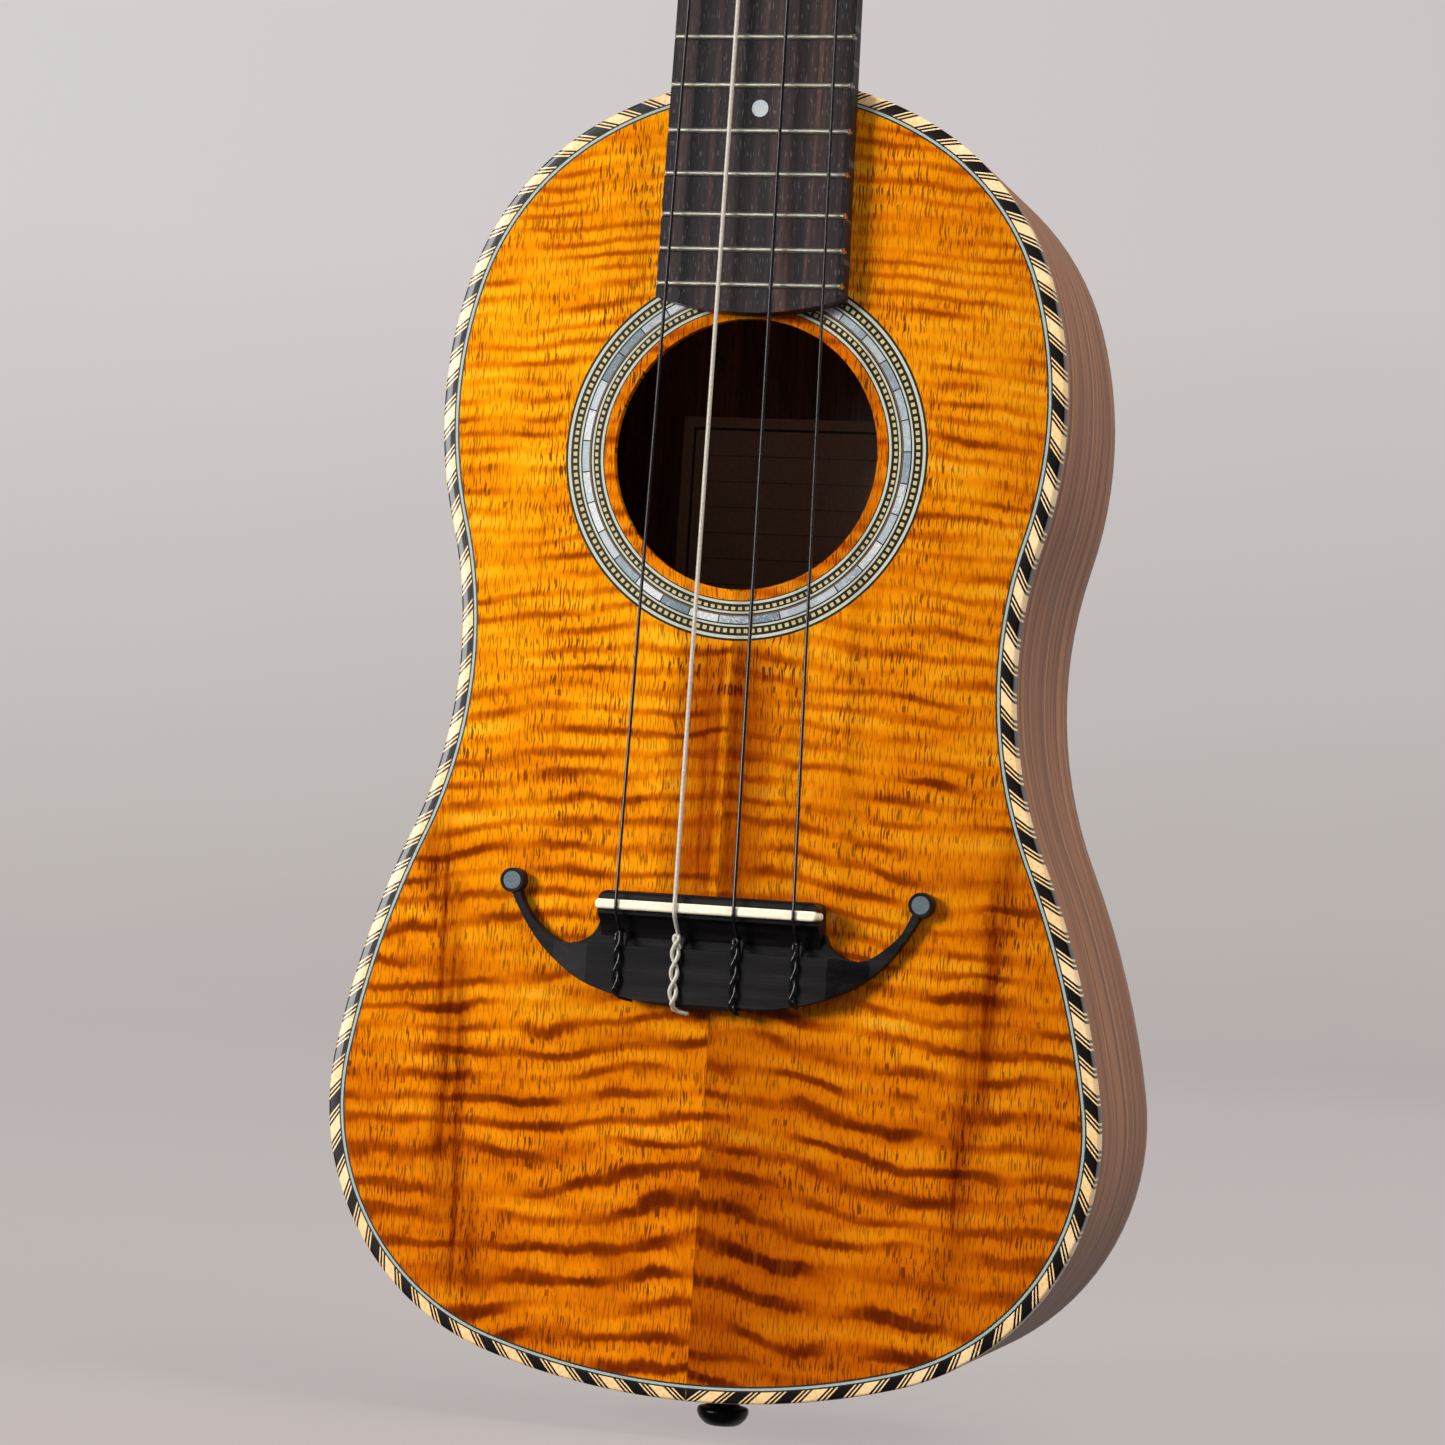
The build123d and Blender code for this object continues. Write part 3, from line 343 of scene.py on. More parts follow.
def board_wood(name):
    """Near-black fretboard wood with reddish streaks and sparse pale flecks along the strings."""
    g = Graph(name)
    figure = g.noise(g.stretched(0.24, 0.24, 0.004), detail=3.0, rough=0.6)
    fibres = g.noise(g.stretched(1.8, 1.8, 0.05), detail=3.0, rough=0.6)
    colour = g.ramp(figure, [
        (0.34, srgb(16, 14, 17)), (0.46, srgb(29, 25, 29)),
        (0.56, srgb(50, 36, 34)), (0.66, srgb(86, 58, 48)),
    ])
    colour = g.mix(g.mul(g.step(fibres, 0.42, 0.7), 0.5), colour, srgb(14, 12, 14))
    flecks = pore_dashes(g, g.x, 3.4, 0.4, 4.0, 0.68)
    colour = g.mix(g.mul(flecks, 0.3), colour, srgb(122, 112, 112))
    return g.finish(
        Base_Color=colour, Roughness=g.add(0.42, g.swing(fibres, 0.2)), Specular_IOR_Level=0.3,
        Normal=g.bump(g.add(fibres, g.mul(flecks, -0.6)), 0.03, 0.3, 0.3),
    )


def ebony(name, rough=0.42, coat=0.0, edge_mm=0.25, axis="z"):
    black, mid, light = srgb(11, 10, 11), srgb(20, 18, 19), srgb(38, 34, 34)
    return long_wood(name, black, mid, light, rough, coat, pitch=0.55, edge_mm=edge_mm, axis=axis, shine=0.2)


def plain(name, colour, rough, **more):
    """A finish with slight cloudiness in its colour and roughness, and softly worn edges."""
    g = Graph(name)
    clouds = g.noise(g.stretched(0.6, 0.6, 0.6), detail=3.0)
    specks = g.noise(g.stretched(6.0, 6.0, 6.0), detail=2.0)
    dark, light = tuple(c * 0.84 for c in colour), tuple(min(c * 1.12, 1.0) for c in colour)
    tone = g.mix(g.step(clouds, 0.3, 0.7), dark, light)
    return g.finish(
        Base_Color=tone, Roughness=g.add(rough, g.swing(specks, 0.2)),
        Normal=g.bump(specks, 0.01, 0.3, 0.15), **more,
    )


def metal(name, colour, rough, brushed=(0.1, 0.1, 6.0), edge_mm=0.15):
    """Metal with fine polishing lines and small changes in how dull it is."""
    g = Graph(name)
    lines = g.noise(g.stretched(*brushed), detail=3.0, rough=0.65)
    dull = g.noise(g.stretched(0.35, 0.35, 0.35), detail=3.0)
    tone = g.mix(g.step(dull, 0.35, 0.75), colour, tuple(c * 0.78 for c in colour))
    rough_value = g.add(g.add(rough, g.swing(lines, 0.16)), g.swing(dull, 0.14))
    return g.finish(
        Base_Color=tone, Metallic=1.0, Roughness=g.math("MAXIMUM", rough_value, 0.04),
        Normal=g.bump(lines, 0.004, 0.35, edge_mm),
    )


def bone(name):
    g = Graph(name)
    fibres = g.noise(g.stretched(0.35, 1.5, 1.5), detail=4.0)
    tone = g.ramp(fibres, [
        (0.3, srgb(240, 228, 200)), (0.55, srgb(246, 237, 214)), (0.8, srgb(250, 243, 224)),
    ])
    return g.finish(
        Base_Color=tone, Roughness=g.add(0.22, g.mul(fibres, 0.15)), Normal=g.bump(fibres, 0.01, 0.3, 0.3),
        Subsurface_Weight=0.15, Subsurface_Radius=(0.004, 0.003, 0.002), Subsurface_Scale=0.3,
        Coat_Weight=0.3,
    )


def pearl(name, tint_attribute=False, depth=1.0):
    """Shell: silvery layers that drift through blue, green and rose. Depth below 1 makes it darker."""
    g = Graph(name)
    layers = g.noise(g.stretched(0.9, 0.9, 0.9), detail=3.0, warp=1.6)
    if tint_attribute:
        shade = g.node("ShaderNodeAttribute", {"attribute_name": "shade"}, {}).outputs["Fac"]
        layers = g.math("FRACT", g.add(g.mul(layers, 0.5), shade))
    tone = g.ramp(layers, [
        (0.05, srgb(126, 142, 154)), (0.28, srgb(168, 184, 196)), (0.46, srgb(206, 214, 218)),
        (0.62, srgb(176, 190, 198)), (0.8, srgb(228, 230, 230)), (0.95, srgb(150, 166, 180)),
    ])
    if depth < 1.0:
        tone = g.mix(1.0, tone, (0.8 * depth, 0.92 * depth, depth), "MULTIPLY")
    return g.finish(
        Base_Color=tone, Roughness=g.add(0.16, g.mul(layers, 0.14)), Metallic=0.25, Coat_Weight=1.0,
        Coat_Roughness=0.05, Normal=g.bump(layers, 0.02, 0.25),
    )


def inlay_wood(name, colour, rough=0.3):
    """A thin strip of dyed or plain wood under the body's gloss."""
    g = Graph(name)
    fibres = g.noise(g.stretched(2.2, 2.2, 2.2), detail=3.0)
    tone = g.mix(g.step(fibres, 0.35, 0.7), tuple(c * 0.86 for c in colour), colour)
    return g.finish(
        Base_Color=tone, Roughness=rough, Coat_Weight=1.0, Coat_Roughness=0.04,
        Normal=g.bump(fibres, 0.01, 0.15),
    )


def maple(name):
    """Cream maple blocks of the rope edge, with flecks."""
    g = Graph(name)
    flecks = g.noise(g.stretched(1.6, 1.6, 1.6), detail=4.0, rough=0.7)
    blocks = g.noise(g.stretched(0.05, 0.05, 0.05), detail=1.0)
    tone = g.ramp(flecks, [
        (0.3, srgb(226, 176, 112)), (0.5, srgb(246, 208, 148)), (0.7, srgb(252, 224, 172)),
    ])
    tone = g.mix(g.mul(g.step(blocks, 0.45, 0.65), 0.5), tone, srgb(250, 226, 184))
    return g.finish(
        Base_Color=tone, Roughness=0.35, Coat_Weight=0.8, Coat_Roughness=0.06,
        Normal=g.bump(flecks, 0.02, 0.2),
    )


def paper(name, low, high):
    """Label paper darkened from cream to tan, as painted shade for the dark inside of the body, with a plain
    border and ruled lines, and nothing written on it.
    """
    g = Graph(name)
    pulp = g.noise(g.stretched(1.2, 1.2, 1.2), detail=4.0)
    # Painted shade: the paper's cream is darkened to tan, for the shade inside the body.
    tone = g.ramp(pulp, [(0.3, srgb(168, 136, 110)), (0.7, srgb(186, 152, 124))])
    half = (high.x - low.x) / MM / 2
    middle, tall = (high.z + low.z) / MM / 2, (high.z - low.z) / MM / 2
    side = g.math("SUBTRACT", half - 3.0, g.math("ABSOLUTE", g.x))
    end = g.math("SUBTRACT", tall - 3.0, g.math("ABSOLUTE", g.add(g.z, -middle)))
    inside = g.math("MINIMUM", side, end)
    border = g.fade(g.math("ABSOLUTE", inside), 0.25, 0.4)
    row = g.math("FRACT", g.mul(g.add(g.z, -low.z / MM), 1 / 6.5))
    ruled = g.fade(g.math("ABSOLUTE", g.add(row, -0.5)), 0.02, 0.035)
    ruled = g.mul(ruled, g.step(inside, 4.0, 4.2))
    ink = g.math("MAXIMUM", border, g.mul(ruled, 0.55))
    inked = g.mix(ink, tone, srgb(60, 50, 42))
    return g.finish(Base_Color=inked, Roughness=0.75, Normal=g.bump(pulp, 0.05, 0.2))


def wound_string(name):
    """Silvered wire wound on a core: fine rings along the string."""
    g = Graph(name)
    rings = g.math("SINE", g.mul(g.z, 2 * math.pi / 0.28))
    # The darker colour sits in the grooves between turns: painted shade.
    tone = g.mix(g.step(rings, -0.6, 0.6), srgb(176, 170, 156), srgb(248, 244, 230))
    return g.finish(Base_Color=tone, Metallic=0.35, Roughness=0.38, Normal=g.bump(rings, 0.04, 0.6))


def smooth_string(name):
    g = Graph(name)
    streaks = g.noise(g.stretched(3.0, 3.0, 0.05), detail=2.0)
    tone = g.mix(streaks, srgb(10, 10, 12), srgb(30, 30, 33))
    return g.finish(
        Base_Color=tone, Roughness=0.13, Specular_IOR_Level=1.0, Normal=g.bump(streaks, 0.01, 0.2),
    )


# --- mesh helpers ---------------------------------------------------------------------------------
def add_mesh(name, points, faces, materials, indices=None, smooth=True):
    data = bpy.data.meshes.new(name)
    data.from_pydata([tuple(p) for p in points], [], faces)
    for entry in materials:
        data.materials.append(entry)
    if indices is not None:
        data.polygons.foreach_set("material_index", indices)
    if smooth:
        data.shade_smooth()
    data.validate()
    made = bpy.data.objects.new(name, data)
    bpy.context.scene.collection.objects.link(made)
    return made


def half_outline():
    """Places, inward normals and lengths along the right half of the body's outline, in mm."""
    arcs = list(BODY_ARCS)
    heading, point = 0.0, np.zeros(2)
    places, normals, lengths = [], [], []
    travelled = 0.0
    for index in range(len(arcs) + 1):
        if index == len(arcs):
            arcs.append((point[0] / math.sin(heading), 180.0 - math.degrees(heading)))
        radius, turn = arcs[index]
        side = math.copysign(1.0, turn)
        centre = point + radius * side * np.array([-math.sin(heading), math.cos(heading)])
        size = math.radians(abs(turn)) * radius
        count = max(4, int(size / STEP_MM))
        for step in range(count + (index == len(arcs) - 1)):
            angle = heading + side * step / count * size / radius
            inward = np.array([-math.sin(angle), math.cos(angle)])
            places.append(centre - radius * side * inward)
            normals.append(inward)
            lengths.append(travelled + size * step / count)
        heading += math.radians(turn)
        point = centre - radius * side * np.array([-math.sin(heading), math.cos(heading)])
        travelled += size
    return np.array(places), np.array(normals), np.array(lengths)


PLACES, NORMALS, LENGTHS = half_outline()
HALF_LENGTH = LENGTHS[-1]


def on_outline(length, inset, depth, side):
    """A point on the body's edge: length round from the tail, inset from the side, depth under the top."""
    x = np.interp(length, LENGTHS, PLACES[:, 0]) + inset * np.interp(length, LENGTHS, NORMALS[:, 0])
    z = np.interp(length, LENGTHS, PLACES[:, 1]) + inset * np.interp(length, LENGTHS, NORMALS[:, 1])
    return (side * mm(max(x, 0.0)), TOP_Y + mm(depth), mm(z))


def edge_strip(name, section, stations, materials, stripe_of, slant=0.0):
    """A strip swept round both halves of the body. section is a closed loop of (inset, depth) in mm."""
    points, faces, indices = [], [], []
    inner = max(inset for inset, _ in section)
    for side in (1, -1):
        base = len(points)
        for station in stations:
            for inset, depth in section:
                length = min(max(station - slant * (inner - inset), 0.0), HALF_LENGTH)
                points.append(on_outline(length, inset, depth, side))
        count = len(section)
        for row in range(len(stations) - 1):
            middle = (stations[row] + stations[row + 1]) / 2
            for k in range(count):
                a, b = base + row * count + k, base + row * count + (k + 1) % count
                quad = [a, b, b + count, a + count]
                faces.append(quad if side > 0 else quad[::-1])
                indices.append(stripe_of(middle, k))
        ends = [list(range(base, base + count)), list(range(base + (len(stations) - 1) * count, len(points)))]
        faces += [ends[0][::-1], ends[1]] if side > 0 else [ends[0], ends[1][::-1]]
        indices += [0, 0]
    made = add_mesh(name, points, faces, materials, indices)
    tidy_mesh(made)
    return made


def tidy_mesh(piece, distance_mm=0.005):
    """Joins points that coincide and drops faces with no area."""
    bm = bmesh.new()
    bm.from_mesh(piece.data)
    bmesh.ops.remove_doubles(bm, verts=bm.verts, dist=mm(distance_mm))
    bmesh.ops.dissolve_degenerate(bm, edges=bm.edges, dist=mm(distance_mm))
    bmesh.ops.recalc_face_normals(bm, faces=bm.faces)
    bm.to_mesh(piece.data)
    bm.free()


def sharpen(piece, degrees=35):
    """Flat faces stay crisp where they meet at more than this angle."""
    piece.data.shade_smooth()
    piece.data.set_sharp_from_angle(angle=math.radians(degrees))


# --- the body's edge ------------------------------------------------------------------------------
# One repeat of the rope pattern: (width in mm, 0 cream or 1 black), from a cream block.
ROPE_REPEAT = (
    (3.72, 0), (0.72, 1), (0.52, 0), (0.72, 1), (0.52, 0),
    (3.9, 1), (0.52, 0), (0.72, 1), (0.52, 0), (0.72, 1),
)
ROPE_SLANT = 1.25
ROPE_CORNER_R = 0.7
# Where the first cream block starts, so that a black block straddles the joint at the tail.
ROPE_START = 5.7
MAX_STATION_MM = 1.2


def rope_stripes():
    """Edges of the rope's stripes along the outline, and each stripe's colour."""
    edges, colours = [ROPE_START - sum(width for width, _ in ROPE_REPEAT)], []
    while edges[-1] < HALF_LENGTH + ROPE_SLANT * ROPE_WIDTH / MM:
        for width, colour in ROPE_REPEAT:
            edges.append(edges[-1] + width)
            colours.append(colour)
    return np.array(edges), colours


def rope_binding(cream, black):
    width, depth = ROPE_WIDTH / MM, ROPE_DEPTH / MM
    edges, colours = rope_stripes()
    stations = []
    for low, high in zip(edges, edges[1:]):
        count = max(1, math.ceil((high - low) / MAX_STATION_MM))
        stations += [low + (high - low) * step / count for step in range(count)]
    limit = HALF_LENGTH + ROPE_SLANT * width
    stations = [s for s in stations if 0.0 <= s <= limit] + [limit]
    turns = np.radians((0, 22.5, 45, 67.5, 90))
    corner = [(ROPE_CORNER_R * (1 - math.sin(a)), ROPE_CORNER_R * (1 - math.cos(a))) for a in turns]
    section = [(width, 0.0)] + corner + [(0.0, depth), (width, depth)]

    def stripe_of(middle, _):
        return colours[int(np.searchsorted(edges, middle)) - 1]

    piece = edge_strip("rope_edge", section, stations, [cream, black], stripe_of, ROPE_SLANT)
    sharpen(piece)
    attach(piece, ROOT)
    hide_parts("rope_bindings")


def purfling(dark, silver):
    start = ROPE_WIDTH / MM
    depth = INLAY_DEPTH / MM
    stations = list(np.arange(0.0, HALF_LENGTH, MAX_STATION_MM)) + [HALF_LENGTH]
    for name, low, high, finish in (
        ("purfling_outer", 0.0, 0.35, dark),
        ("purfling_silver", 0.35, 0.92, silver),
        ("purfling_inner", 0.92, 1.3, dark),
    ):
        section = [(start + high, 0.0), (start + low, 0.0), (start + low, depth), (start + high, depth)]
        piece = edge_strip(name, section, stations, [finish], lambda middle, k: 0)
        sharpen(piece)
        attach(piece, ROOT)
        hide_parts("purfling")


# --- rosette --------------------------------------------------------------------------------------
def ring(name, bands, count, materials, finish_of, nodes, shade_of=None):
    """Concentric inlay. bands are radii in mm, from inside out. finish_of gives each cell's material."""
    points, faces, indices = [], [], []
    rows = len(bands)
    for step in range(count):
        angle = 2 * math.pi * step / count
        for radius in bands:
            for y in (TOP_Y, TOP_Y + INLAY_DEPTH):
                points.append((mm(radius) * math.sin(angle), y, HOLE_Z + mm(radius) * math.cos(angle)))
    for step in range(count):
        here, there = step * rows * 2, ((step + 1) % count) * rows * 2
        for band in range(rows - 1):
            a, b = here + band * 2, there + band * 2
            faces.append([a, a + 2, b + 2, b])
            indices.append(finish_of(band, step))
            faces.append([a + 1, b + 1, b + 3, a + 3])
            indices.append(finish_of(band, step))
        faces.append([here, there, there + 1, here + 1])
        indices.append(finish_of(0, step))
        a, b = here + (rows - 1) * 2, there + (rows - 1) * 2
        faces.append([a, a + 1, b + 1, b])
        indices.append(finish_of(rows - 2, step))
    piece = add_mesh(name, points, faces, materials, indices, smooth=False)
    if shade_of is not None:
        layer = piece.data.attributes.new("shade", "FLOAT", "FACE")
        faces_per_step = 2 * (rows - 1) + 2
        layer.data.foreach_set("value", [shade_of(index // faces_per_step) for index in range(len(faces))])
    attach(piece, ROOT)
    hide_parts(*nodes)
    return piece


def rosette(black, cream, white, shell, amber):
    finishes = [black, cream, white, amber]

    def squares(pattern, band_of_squares, period, wide):
        def finish_of(band, step):
            if band == band_of_squares:
                return 1 if step % period < wide else 0
            return pattern[band]
        return finish_of

    outer = (40.0, 40.22, 40.66, 40.9, 41.2, 42.12, 42.45, 42.75, 43.45, 44.0)
    outer_fill = (0, 2, 0, 0, 1, 0, 0, 2, 0)
    ring("rosette_outer_band", outer, 156 * 7, finishes, squares(outer_fill, 4, 7, 4),
         ["rosette_outer"])
    inner = (34.5, 34.75, 35.35, 35.7, 36.0, 36.75, 37.1, 37.55, 37.85, 38.1)
    inner_fill = (0, 2, 0, 0, 1, 0, 2, 0, 3)
    ring("rosette_inner_band", inner, 136 * 7, finishes, squares(inner_fill, 4, 7, 4),
         ["rosette_inner"])
    segments, cells = 33, 24
    shades = np.random.default_rng(11).uniform(0.0, 1.0, segments)
    ring("rosette_shell", (38.1, 38.2, 39.88, 40.0), segments * cells, [shell, black],
         lambda band, step: 1 if band != 1 or step % cells == 0 else 0, ["rosette_pearl"],
         lambda step: float(shades[step // cells]))


# --- strings --------------------------------------------------------------------------------------
# Each string's place across the saddle and the nut, and its radius, in mm.
STRINGS = {
    "g": (-21.3, -14.35, 0.40), "c": (-7.1, -4.8, 0.50), "e": (7.1, 4.8, 0.43), "a": (21.3, 14.35, 0.38),
}
TIE_BLOCK_HEIGHT = 6.6
TIE_HOLE_HEIGHT = 3.6
TWIST_PITCH = 9.0
# Where each tied end's twist starts, in radians, and how much string is left over, in mm.
TIED_ENDS = {"g": (0.4, 2.8), "c": (1.6, 2.4), "e": (2.6, 0.5), "a": (0.9, 0.4)}
HEAD_TILT = 13.0
POST_WAIST_R = 2.6


def tail_edge(x):
    """Tail edge of the tie block, in mm, at a place across the bridge."""
    return 91.0 + 4.6 * (x / 29) ** 2


def smooth_path(points, step):
    """A Catmull-Rom curve through the points, sampled at even steps."""
    knots = [2 * Vector(points[0]) - Vector(points[1])] + [Vector(p) for p in points]
    knots.append(2 * knots[-1] - knots[-2])
    path = []
    for a, b, c, d in zip(knots, knots[1:], knots[2:], knots[3:]):
        count = max(1, min(60, int((c - b).length / step)))
        for k in range(count):
            t = k / count
            squared, cubed = 2 * a - 5 * b + 4 * c - d, 3 * b - a - 3 * c + d
            path.append(0.5 * (2 * b + (c - a) * t + squared * t * t + cubed * t ** 3))
    return path + [knots[-2]]


def tube(path, radius, points, faces, sides=10):
    """Adds a round tube with rounded ends along a path, to lists of points and faces."""
    ahead, behind = path[1:] + path[-1:], path[:1] + path[:-1]
    tangents = [(after - before).normalized() for after, before in zip(ahead, behind)]
    side = tangents[0].orthogonal().normalized()
    rings = []
    for place, tangent in zip(path, tangents):
        side = (side - tangent * side.dot(tangent)).normalized()
        rings.append((place, side.copy(), tangent.cross(side), radius))
    first, last = rings[0], rings[-1]
    cap_in = [(first[0] - tangents[0] * radius * 0.6, first[1], first[2], radius * 0.75)]
    cap_out = [(last[0] + tangents[-1] * radius * 0.6, last[1], last[2], radius * 0.75)]
    start = len(points)
    for place, u, v, size in cap_in + rings + cap_out:
        for k in range(sides):
            angle = 2 * math.pi * k / sides
            points.append(place + u * size * math.cos(angle) + v * size * math.sin(angle))
    rows = len(rings) + 2
    for row in range(rows - 1):
        for k in range(sides):
            a, b = start + row * sides + k, start + row * sides + (k + 1) % sides
            faces.append([a, b, b + sides, a + sides])
    faces.append(list(range(start, start + sides))[::-1])
    faces.append(list(range(start + (rows - 1) * sides, start + rows * sides)))


def on_top(x, length, height):
    """Bench millimetres, as across, up the body and above the top, as a place in metres."""
    return Vector((mm(x), TOP_Y - mm(height), mm(length)))


def tied_end(x, radius, points, faces, spin, spare):
    """The string's end: out of the hole, over the tie block, round the string and back, twisted."""
    low, high, rise = tail_edge(x) + 0.7, 105.6, TIE_BLOCK_HEIGHT + 2 * radius + 0.06
    twist = []
    for step in range(33):
        share = step / 32
        length = low + (high - low) * share
        turn = spin + 2 * math.pi * (high - length) / TWIST_PITCH
        twist.append((length, 1.5 * radius * math.cos(turn), 1.06 * radius * math.sin(turn)))
    there = [on_top(x + across, length, rise + up) for length, across, up in twist]
    back = [on_top(x - across, length, rise - up) for length, across, up in reversed(twist)]
    bend = ((1.1, 1.2, 0.2), (0.9, 2.1, 0.5), (-0.9, 2.1, 0.5), (-1.1, 1.2, 0.2))
    loop = [on_top(x + across * radius, high + past, rise - drop) for across, past, drop in bend]
    edge = tail_edge(x) - radius - 0.25
    hidden = [on_top(x, edge + 3, TIE_HOLE_HEIGHT), on_top(x, edge + 0.4, TIE_HOLE_HEIGHT),
              on_top(x, edge, TIE_HOLE_HEIGHT + 1.3), on_top(x, edge + 0.25, TIE_BLOCK_HEIGHT)]
    stub = [on_top(x + 0.7, edge - 0.1, TIE_BLOCK_HEIGHT - 0.4),
            on_top(x + 0.7 + spare, edge - 0.3 * spare, TIE_BLOCK_HEIGHT - 0.6 - 0.4 * spare)]
    tube(smooth_path(hidden + there + loop + back + stub, mm(0.35)), radius * MM, points, faces)


def string(name, finish):
    saddle_x, nut_x, radius = STRINGS[name]
    saddle_low, saddle_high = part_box("saddle")
    nut_low, nut_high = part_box("nut")
    coil_low, coil_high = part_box("string_coil_" + name)
    coil = (coil_low + coil_high) / 2
    inward = -math.copysign(1.0, coil.x)
    reach = (coil_high.x - coil_low.x) / 2 + mm(radius + 0.1)
    saddle_height = (TOP_Y - saddle_low.y) / MM + 0.3
    nut_height = (TOP_Y - nut_low.y) / MM
    points, faces = [], []
    run = [
        on_top(saddle_x, tail_edge(saddle_x) + 3.0, TIE_HOLE_HEIGHT),
        on_top(saddle_x, 104.4, TIE_HOLE_HEIGHT), on_top(saddle_x, 107.0, TIE_HOLE_HEIGHT + 1.5),
        on_top(saddle_x, 112.2, saddle_height - 0.6), on_top(saddle_x, 114.2, saddle_height),
        on_top(saddle_x, 116.5, saddle_height),
    ]
    nut_in = on_top(nut_x, nut_low.z / MM - 1.0, nut_height)
    nut_out = on_top(nut_x, nut_high.z / MM, nut_height)
    end = Vector((coil.x + inward * reach, coil.y, coil.z))
    straight = [run[-1].lerp(nut_in, share) for share in (0.02, 0.25, 0.5, 0.75, 0.98)]
    head = [nut_in, nut_out, nut_out.lerp(end, 0.1), nut_out.lerp(end, 0.5), nut_out.lerp(end, 0.97), end]
    tube(smooth_path(run, mm(0.5)) + straight + smooth_path(head, mm(1.0)), radius * MM, points, faces, 12)
    tied_end(saddle_x, radius, points, faces, *TIED_ENDS[name])
    piece = add_mesh("string_drawn_" + name, points, faces, [finish])
    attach(piece, ROOT)
    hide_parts("string_" + name)


# --- floor, light and camera ----------------------------------------------------------------------
CAMERA_PLACE = (0.2473, -0.9263, 0.1186)
CAMERA_RIGHT = (0.96214, 0.26534, 0.06238)
CAMERA_DOWN = (0.04874, 0.05769, -0.99714)
CAMERA_LENS = 98.7


def camera():
    data = bpy.data.cameras.new("view")
    data.lens = CAMERA_LENS
    data.sensor_width = 36.0
    made = bpy.data.objects.new("view", data)
    bpy.context.scene.collection.objects.link(made)
    right, up = Vector(CAMERA_RIGHT).normalized(), -Vector(CAMERA_DOWN).normalized()
    back = right.cross(up)
    turn = Matrix((right, up, back)).transposed()
    made.matrix_world = Matrix.Translation(Vector(CAMERA_PLACE)) @ turn.to_4x4()
    bpy.context.scene.camera = made


def soft_light(name, place, target, size, power, colour=(1.0, 1.0, 1.0), mirrored=False):
    """A rectangular light. Either it lights the object, or it is only seen mirrored in polished faces."""
    data = bpy.data.lights.new(name, "AREA")
    data.shape = "RECTANGLE"
    data.size, data.size_y = size
    data.energy = power
    data.color = colour
    made = bpy.data.objects.new(name, data)
    bpy.context.scene.collection.objects.link(made)
    made.visible_diffuse, made.visible_glossy = not mirrored, mirrored
    direction = Vector(target) - Vector(place)
    turn = direction.to_track_quat("-Z", "Y").to_matrix()
    made.matrix_world = Matrix.Translation(Vector(place)) @ turn.to_4x4()


def studio_world():
    """Even, pale surroundings. Polished faces see a darker room with a paler wall behind the object."""
    world = bpy.data.worlds.new("studio")
    bpy.context.scene.world = world
    world.use_nodes = True
    tree = world.node_tree
    background = tree.nodes["Background"]
    seen = tree.nodes.new("ShaderNodeLightPath")
    height = tree.nodes.new("ShaderNodeSeparateXYZ")
    tree.links.new(tree.nodes.new("ShaderNodeTexCoord").outputs["Generated"], height.inputs[0])
    room = tree.nodes.new("ShaderNodeValToRGB")
    tree.links.new(height.outputs[2], room.inputs[0])
    room.color_ramp.elements[0].position, room.color_ramp.elements[0].color = 0.28, (*srgb(44, 42, 42), 1.0)
    room.color_ramp.elements[1].position, room.color_ramp.elements[1].color = 0.55, (*srgb(76, 74, 73), 1.0)
    colour = tree.nodes.new("ShaderNodeMix")
    colour.data_type = "RGBA"
    colour.inputs[6].default_value = (*srgb(112, 110, 110), 1.0)
    rear = tree.nodes.new("ShaderNodeMapRange")
    rear.inputs["From Min"].default_value, rear.inputs["From Max"].default_value = 0.0, 0.5
    tree.links.new(height.outputs[1], rear.inputs["Value"])
    wall = tree.nodes.new("ShaderNodeMix")
    wall.data_type = "RGBA"
    wall.inputs[7].default_value = (*srgb(146, 142, 140), 1.0)
    tree.links.new(rear.outputs[0], wall.inputs[0])
    tree.links.new(room.outputs[0], wall.inputs[6])
    tree.links.new(wall.outputs[2], colour.inputs[7])
    tree.links.new(seen.outputs["Is Glossy Ray"], colour.inputs[0])
    tree.links.new(colour.outputs[2], background.inputs["Color"])


